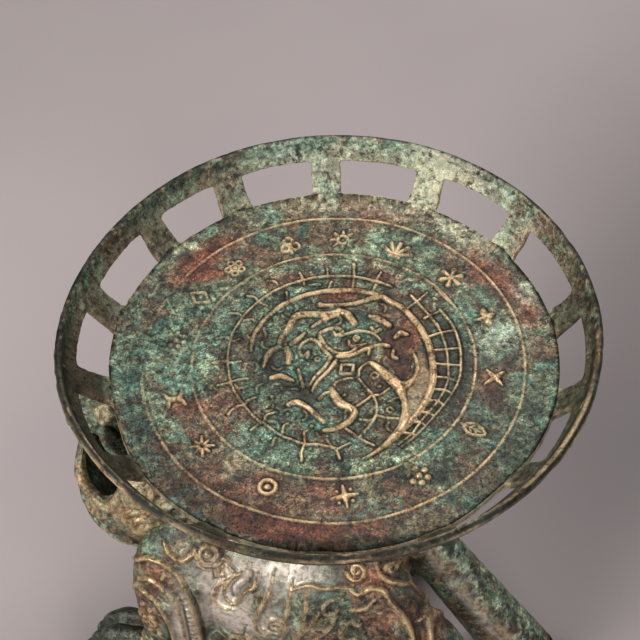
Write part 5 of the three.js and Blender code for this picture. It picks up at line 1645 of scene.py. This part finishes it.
def make_column(body):
    """The column, with a petalled foot and a corded ring, and the boss under the tray."""
    low, back, top = 138.0, 146.0, 217.7
    profile = [(0, low), (27.0, low), (27.4, back + 1.2), (27.0, back + 3.4), (25.8, back + 5.2), (24.2, back + 6.2), (19.4, back + 8.0), (16.4, back + 10.4), (14.2, back + 14), (12.9, back + 18),
               (12.5, back + 22), (12.5, back + 28.6), (14.6, back + 29.6), (15.5, back + 31.4), (15.5, back + 33.6), (14.6, back + 35.4), (12.5, back + 36.4), (12.4, top - 16), (12.8, top - 11),
               (14.6, top - 6.2), (16.0, top - 3.8), (16.9, top - 2.4), (17.0, top - 0.4), (16.6, top), (8.0, top), (8.0, 230.5), (7.0, 231.5), (0, 231.5)]
    v, q, t = cut(cut(lathe(profile, 160, 0.8), body), rod(5.3, 100, 184.5))

    def petals(v, n):
        r, a, z = np.hypot(v[:, 0], v[:, 1]), np.arctan2(v[:, 1], v[:, 0]), v[:, 2] - back
        lobes = abs(np.sin(6 * a))
        foot = smoothstep(13.2, 14.6, r) * (1 - smoothstep(11.0, 14.5, z)) * (z > -9) * (n[:, 2] > -0.5)
        dh = foot * (1.1 * lobes**0.6 - 0.7)
        wear_and_highlight = foot * smoothstep(0.75, 0.98, lobes) * 0.6
        cav = foot * smoothstep(0.35, 0.05, lobes)
        cord = np.exp(-(((z - 32.5) / 2.2) ** 2)) * smoothstep(13.2, 14.4, r)
        twist = np.sin(18 * a + 1.7 * z)
        dh += 0.5 * cord * twist
        wear_and_highlight = np.maximum(wear_and_highlight, cord * smoothstep(0.2, 0.9, twist) * 0.8)
        cav = np.maximum(cav, cord * smoothstep(-0.3, -0.9, twist))
        flutes = smoothstep(14, 17, z) * (1 - smoothstep(27.0, 28.4, z)) + smoothstep(37, 39, z) * (1 - smoothstep(top - back - 15, top - back - 12, z))
        f = np.cos(12 * a)
        dh += 0.45 * flutes * f * (r < 14)
        cav = np.maximum(cav, 0.6 * flutes * smoothstep(-0.5, -0.95, f) * (r < 14))
        return dh * (r > 9), wear_and_highlight, cav

    dressed("column_cast", (v, q, t), STAND, "stand", ["column"], relief=0.0, rough=0.12, extra=petals)

    under = 235.7
    profile = [(0, 232), (8.3, 232), (8.3, 219), (9.3, 218), (15.6, 218), (16.8, 218.8), (17.0, 220.2), (16.6, 221.4), (17.0, 222.6), (17.0, under - 10), (17.8, under - 7.6), (20.4, under - 5.4),
               (25.6, under - 4.0), (29.8, under - 3.2), (30.8, under - 2.4), (31.0, under - 0.6), (30.8, under), (0, under)]
    v, q, t = lathe(profile, 160, 0.8)

    def rays(v, n):
        r, a = np.hypot(v[:, 0], v[:, 1]), np.arctan2(v[:, 1], v[:, 0])
        lobes = abs(np.sin(8 * a))
        zone = smoothstep(17.6, 20, r) * (1 - smoothstep(29.4, 30.6, r)) * (n[:, 2] < 0.2)
        return zone * (0.7 * lobes**0.6 - 0.45), zone * smoothstep(0.8, 0.98, lobes) * 0.5, zone * smoothstep(0.35, 0.05, lobes)

    dressed("tray_socket_cast", (v, q, t), STAND, "tray", ["tray_socket"], relief=0.0, rough=0.1, extra=rays)


TRAY = bronze("tray_patina", ("red", "teal", "pale", "dark", "cav", "busy"))
BEAST = bronze("beast_patina", ("shine", "red", "teal", "pale", "dark", "cav"), green=0.7, gold=True, depth=0.0008)
STAND = bronze("stand_patina", ("teal", "dark", "cav"), green=0.9)
PLAIN = bronze("fastener_bronze", (), green=0.4, metal=0.3, depth=0.0005)

RIDGE, GROOVE = side_reliefs()
make_tray(TRAY)
make_beast()
for node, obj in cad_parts.items():
    if node.startswith("tie_"):
        obj.data.materials.clear()
        obj.data.materials.append(PLAIN)

# ---------------------------------------------------------------- floor, light and camera


def floor_material():
    n = Nodes("studio_floor")
    broad = n.noise(260, 3, 0.5)
    pale = n.mix(n.step(broad, 0.3, 0.7), (158, 149, 148), (153, 144, 144))
    apart = n.new("ShaderNodeSeparateXYZ")
    n.link(n.mm, apart.inputs[0])

    def away(cx, cy, rx, ry):
        a, b = n.mul(n.add(apart.outputs[0], -cx), 1 / rx), n.mul(n.add(apart.outputs[1], -cy), 1 / ry)
        return n.math("SQRT", n.add(n.mul(a, a), n.mul(b, b)))

    # painted shadow on the floor to the right of and behind the object, and a painted pool of light on the left
    pale = n.times(pale, n.mul(n.step(away(170, 260, 150, 330), 0.2, 1.3, 0.6, 1.0), n.step(away(-300, 190, 160, 170), 0.1, 1.2, 1.2, 1.0)))
    n.link(pale, n.shader.inputs["Base Color"])
    n.shader.inputs["Roughness"].default_value = 0.8
    n.link(n.bump(n.noise(1.4, 2, 0.5), 0.0001, 0.2), n.shader.inputs["Normal"])
    return n.material


me = bpy.data.meshes.new("studio_floor")
size = 6.0
me.from_pydata([(-size, -size, 0), (size, -size, 0), (size, size, 0), (-size, size, 0)], [], [(0, 1, 2, 3)])
floor = bpy.data.objects.new("studio_floor", me)
bpy.context.scene.collection.objects.link(floor)
me.materials.append(floor_material())


def area_light(name, where, target, width, height, power, colour):
    light = bpy.data.lights.new(name, "AREA")
    light.shape = "RECTANGLE"
    light.size, light.size_y = width, height
    light.energy = power
    light.color = colour
    obj = bpy.data.objects.new(name, light)
    bpy.context.scene.collection.objects.link(obj)
    obj.location = where
    obj.rotation_mode = "QUATERNION"
    obj.rotation_quaternion = (Vector(target) - Vector(where)).to_track_quat("-Z", "Y")
    return obj


area_light("key", (-1.2, -1.15, 1.25), (0, 0, 0.18), 0.6, 0.6, 40, (1.0, 0.97, 0.93))
area_light("top", (0.35, 0.9, 1.7), (0, 0, 0.2), 1.0, 0.7, 20, (1.0, 0.98, 0.97))
area_light("fill", (1.1, -1.3, 0.75), (0, 0, 0.12), 0.9, 0.9, 13, (0.98, 0.98, 1.0))

world = bpy.data.worlds.new("studio")
world.use_nodes = True
world.node_tree.nodes["Background"].inputs[0].default_value = (0.92, 0.92, 0.95, 1)
world.node_tree.nodes["Background"].inputs[1].default_value = 0.22
bpy.context.scene.world = world
bpy.context.scene.view_settings.view_transform = "Standard"
bpy.context.scene.view_settings.look = "None"

PITCH, AWAY, ROLL = 0.9111, 0.9937, -0.0510
back = Vector((math.sin(TURN) * math.cos(PITCH), -math.cos(TURN) * math.cos(PITCH), math.sin(PITCH)))
right = Vector((math.cos(TURN), math.sin(TURN), 0))
up = back.cross(right)
right, up = right * math.cos(ROLL) + up * math.sin(ROLL), up * math.cos(ROLL) - right * math.sin(ROLL)
lens = bpy.data.cameras.new("camera")
lens.lens, lens.sensor_width = 114.67, 36.0
lens.shift_x, lens.shift_y = -0.02025, 0.06604
lens.clip_start, lens.clip_end = 0.05, 20
camera = bpy.data.objects.new("camera", lens)
bpy.context.scene.collection.objects.link(camera)
place = Vector((0, 0, 0.240)) + AWAY * back
camera.matrix_world = Matrix.Translation(place) @ Matrix((right, up, back)).transposed().to_4x4()
bpy.context.scene.camera = camera
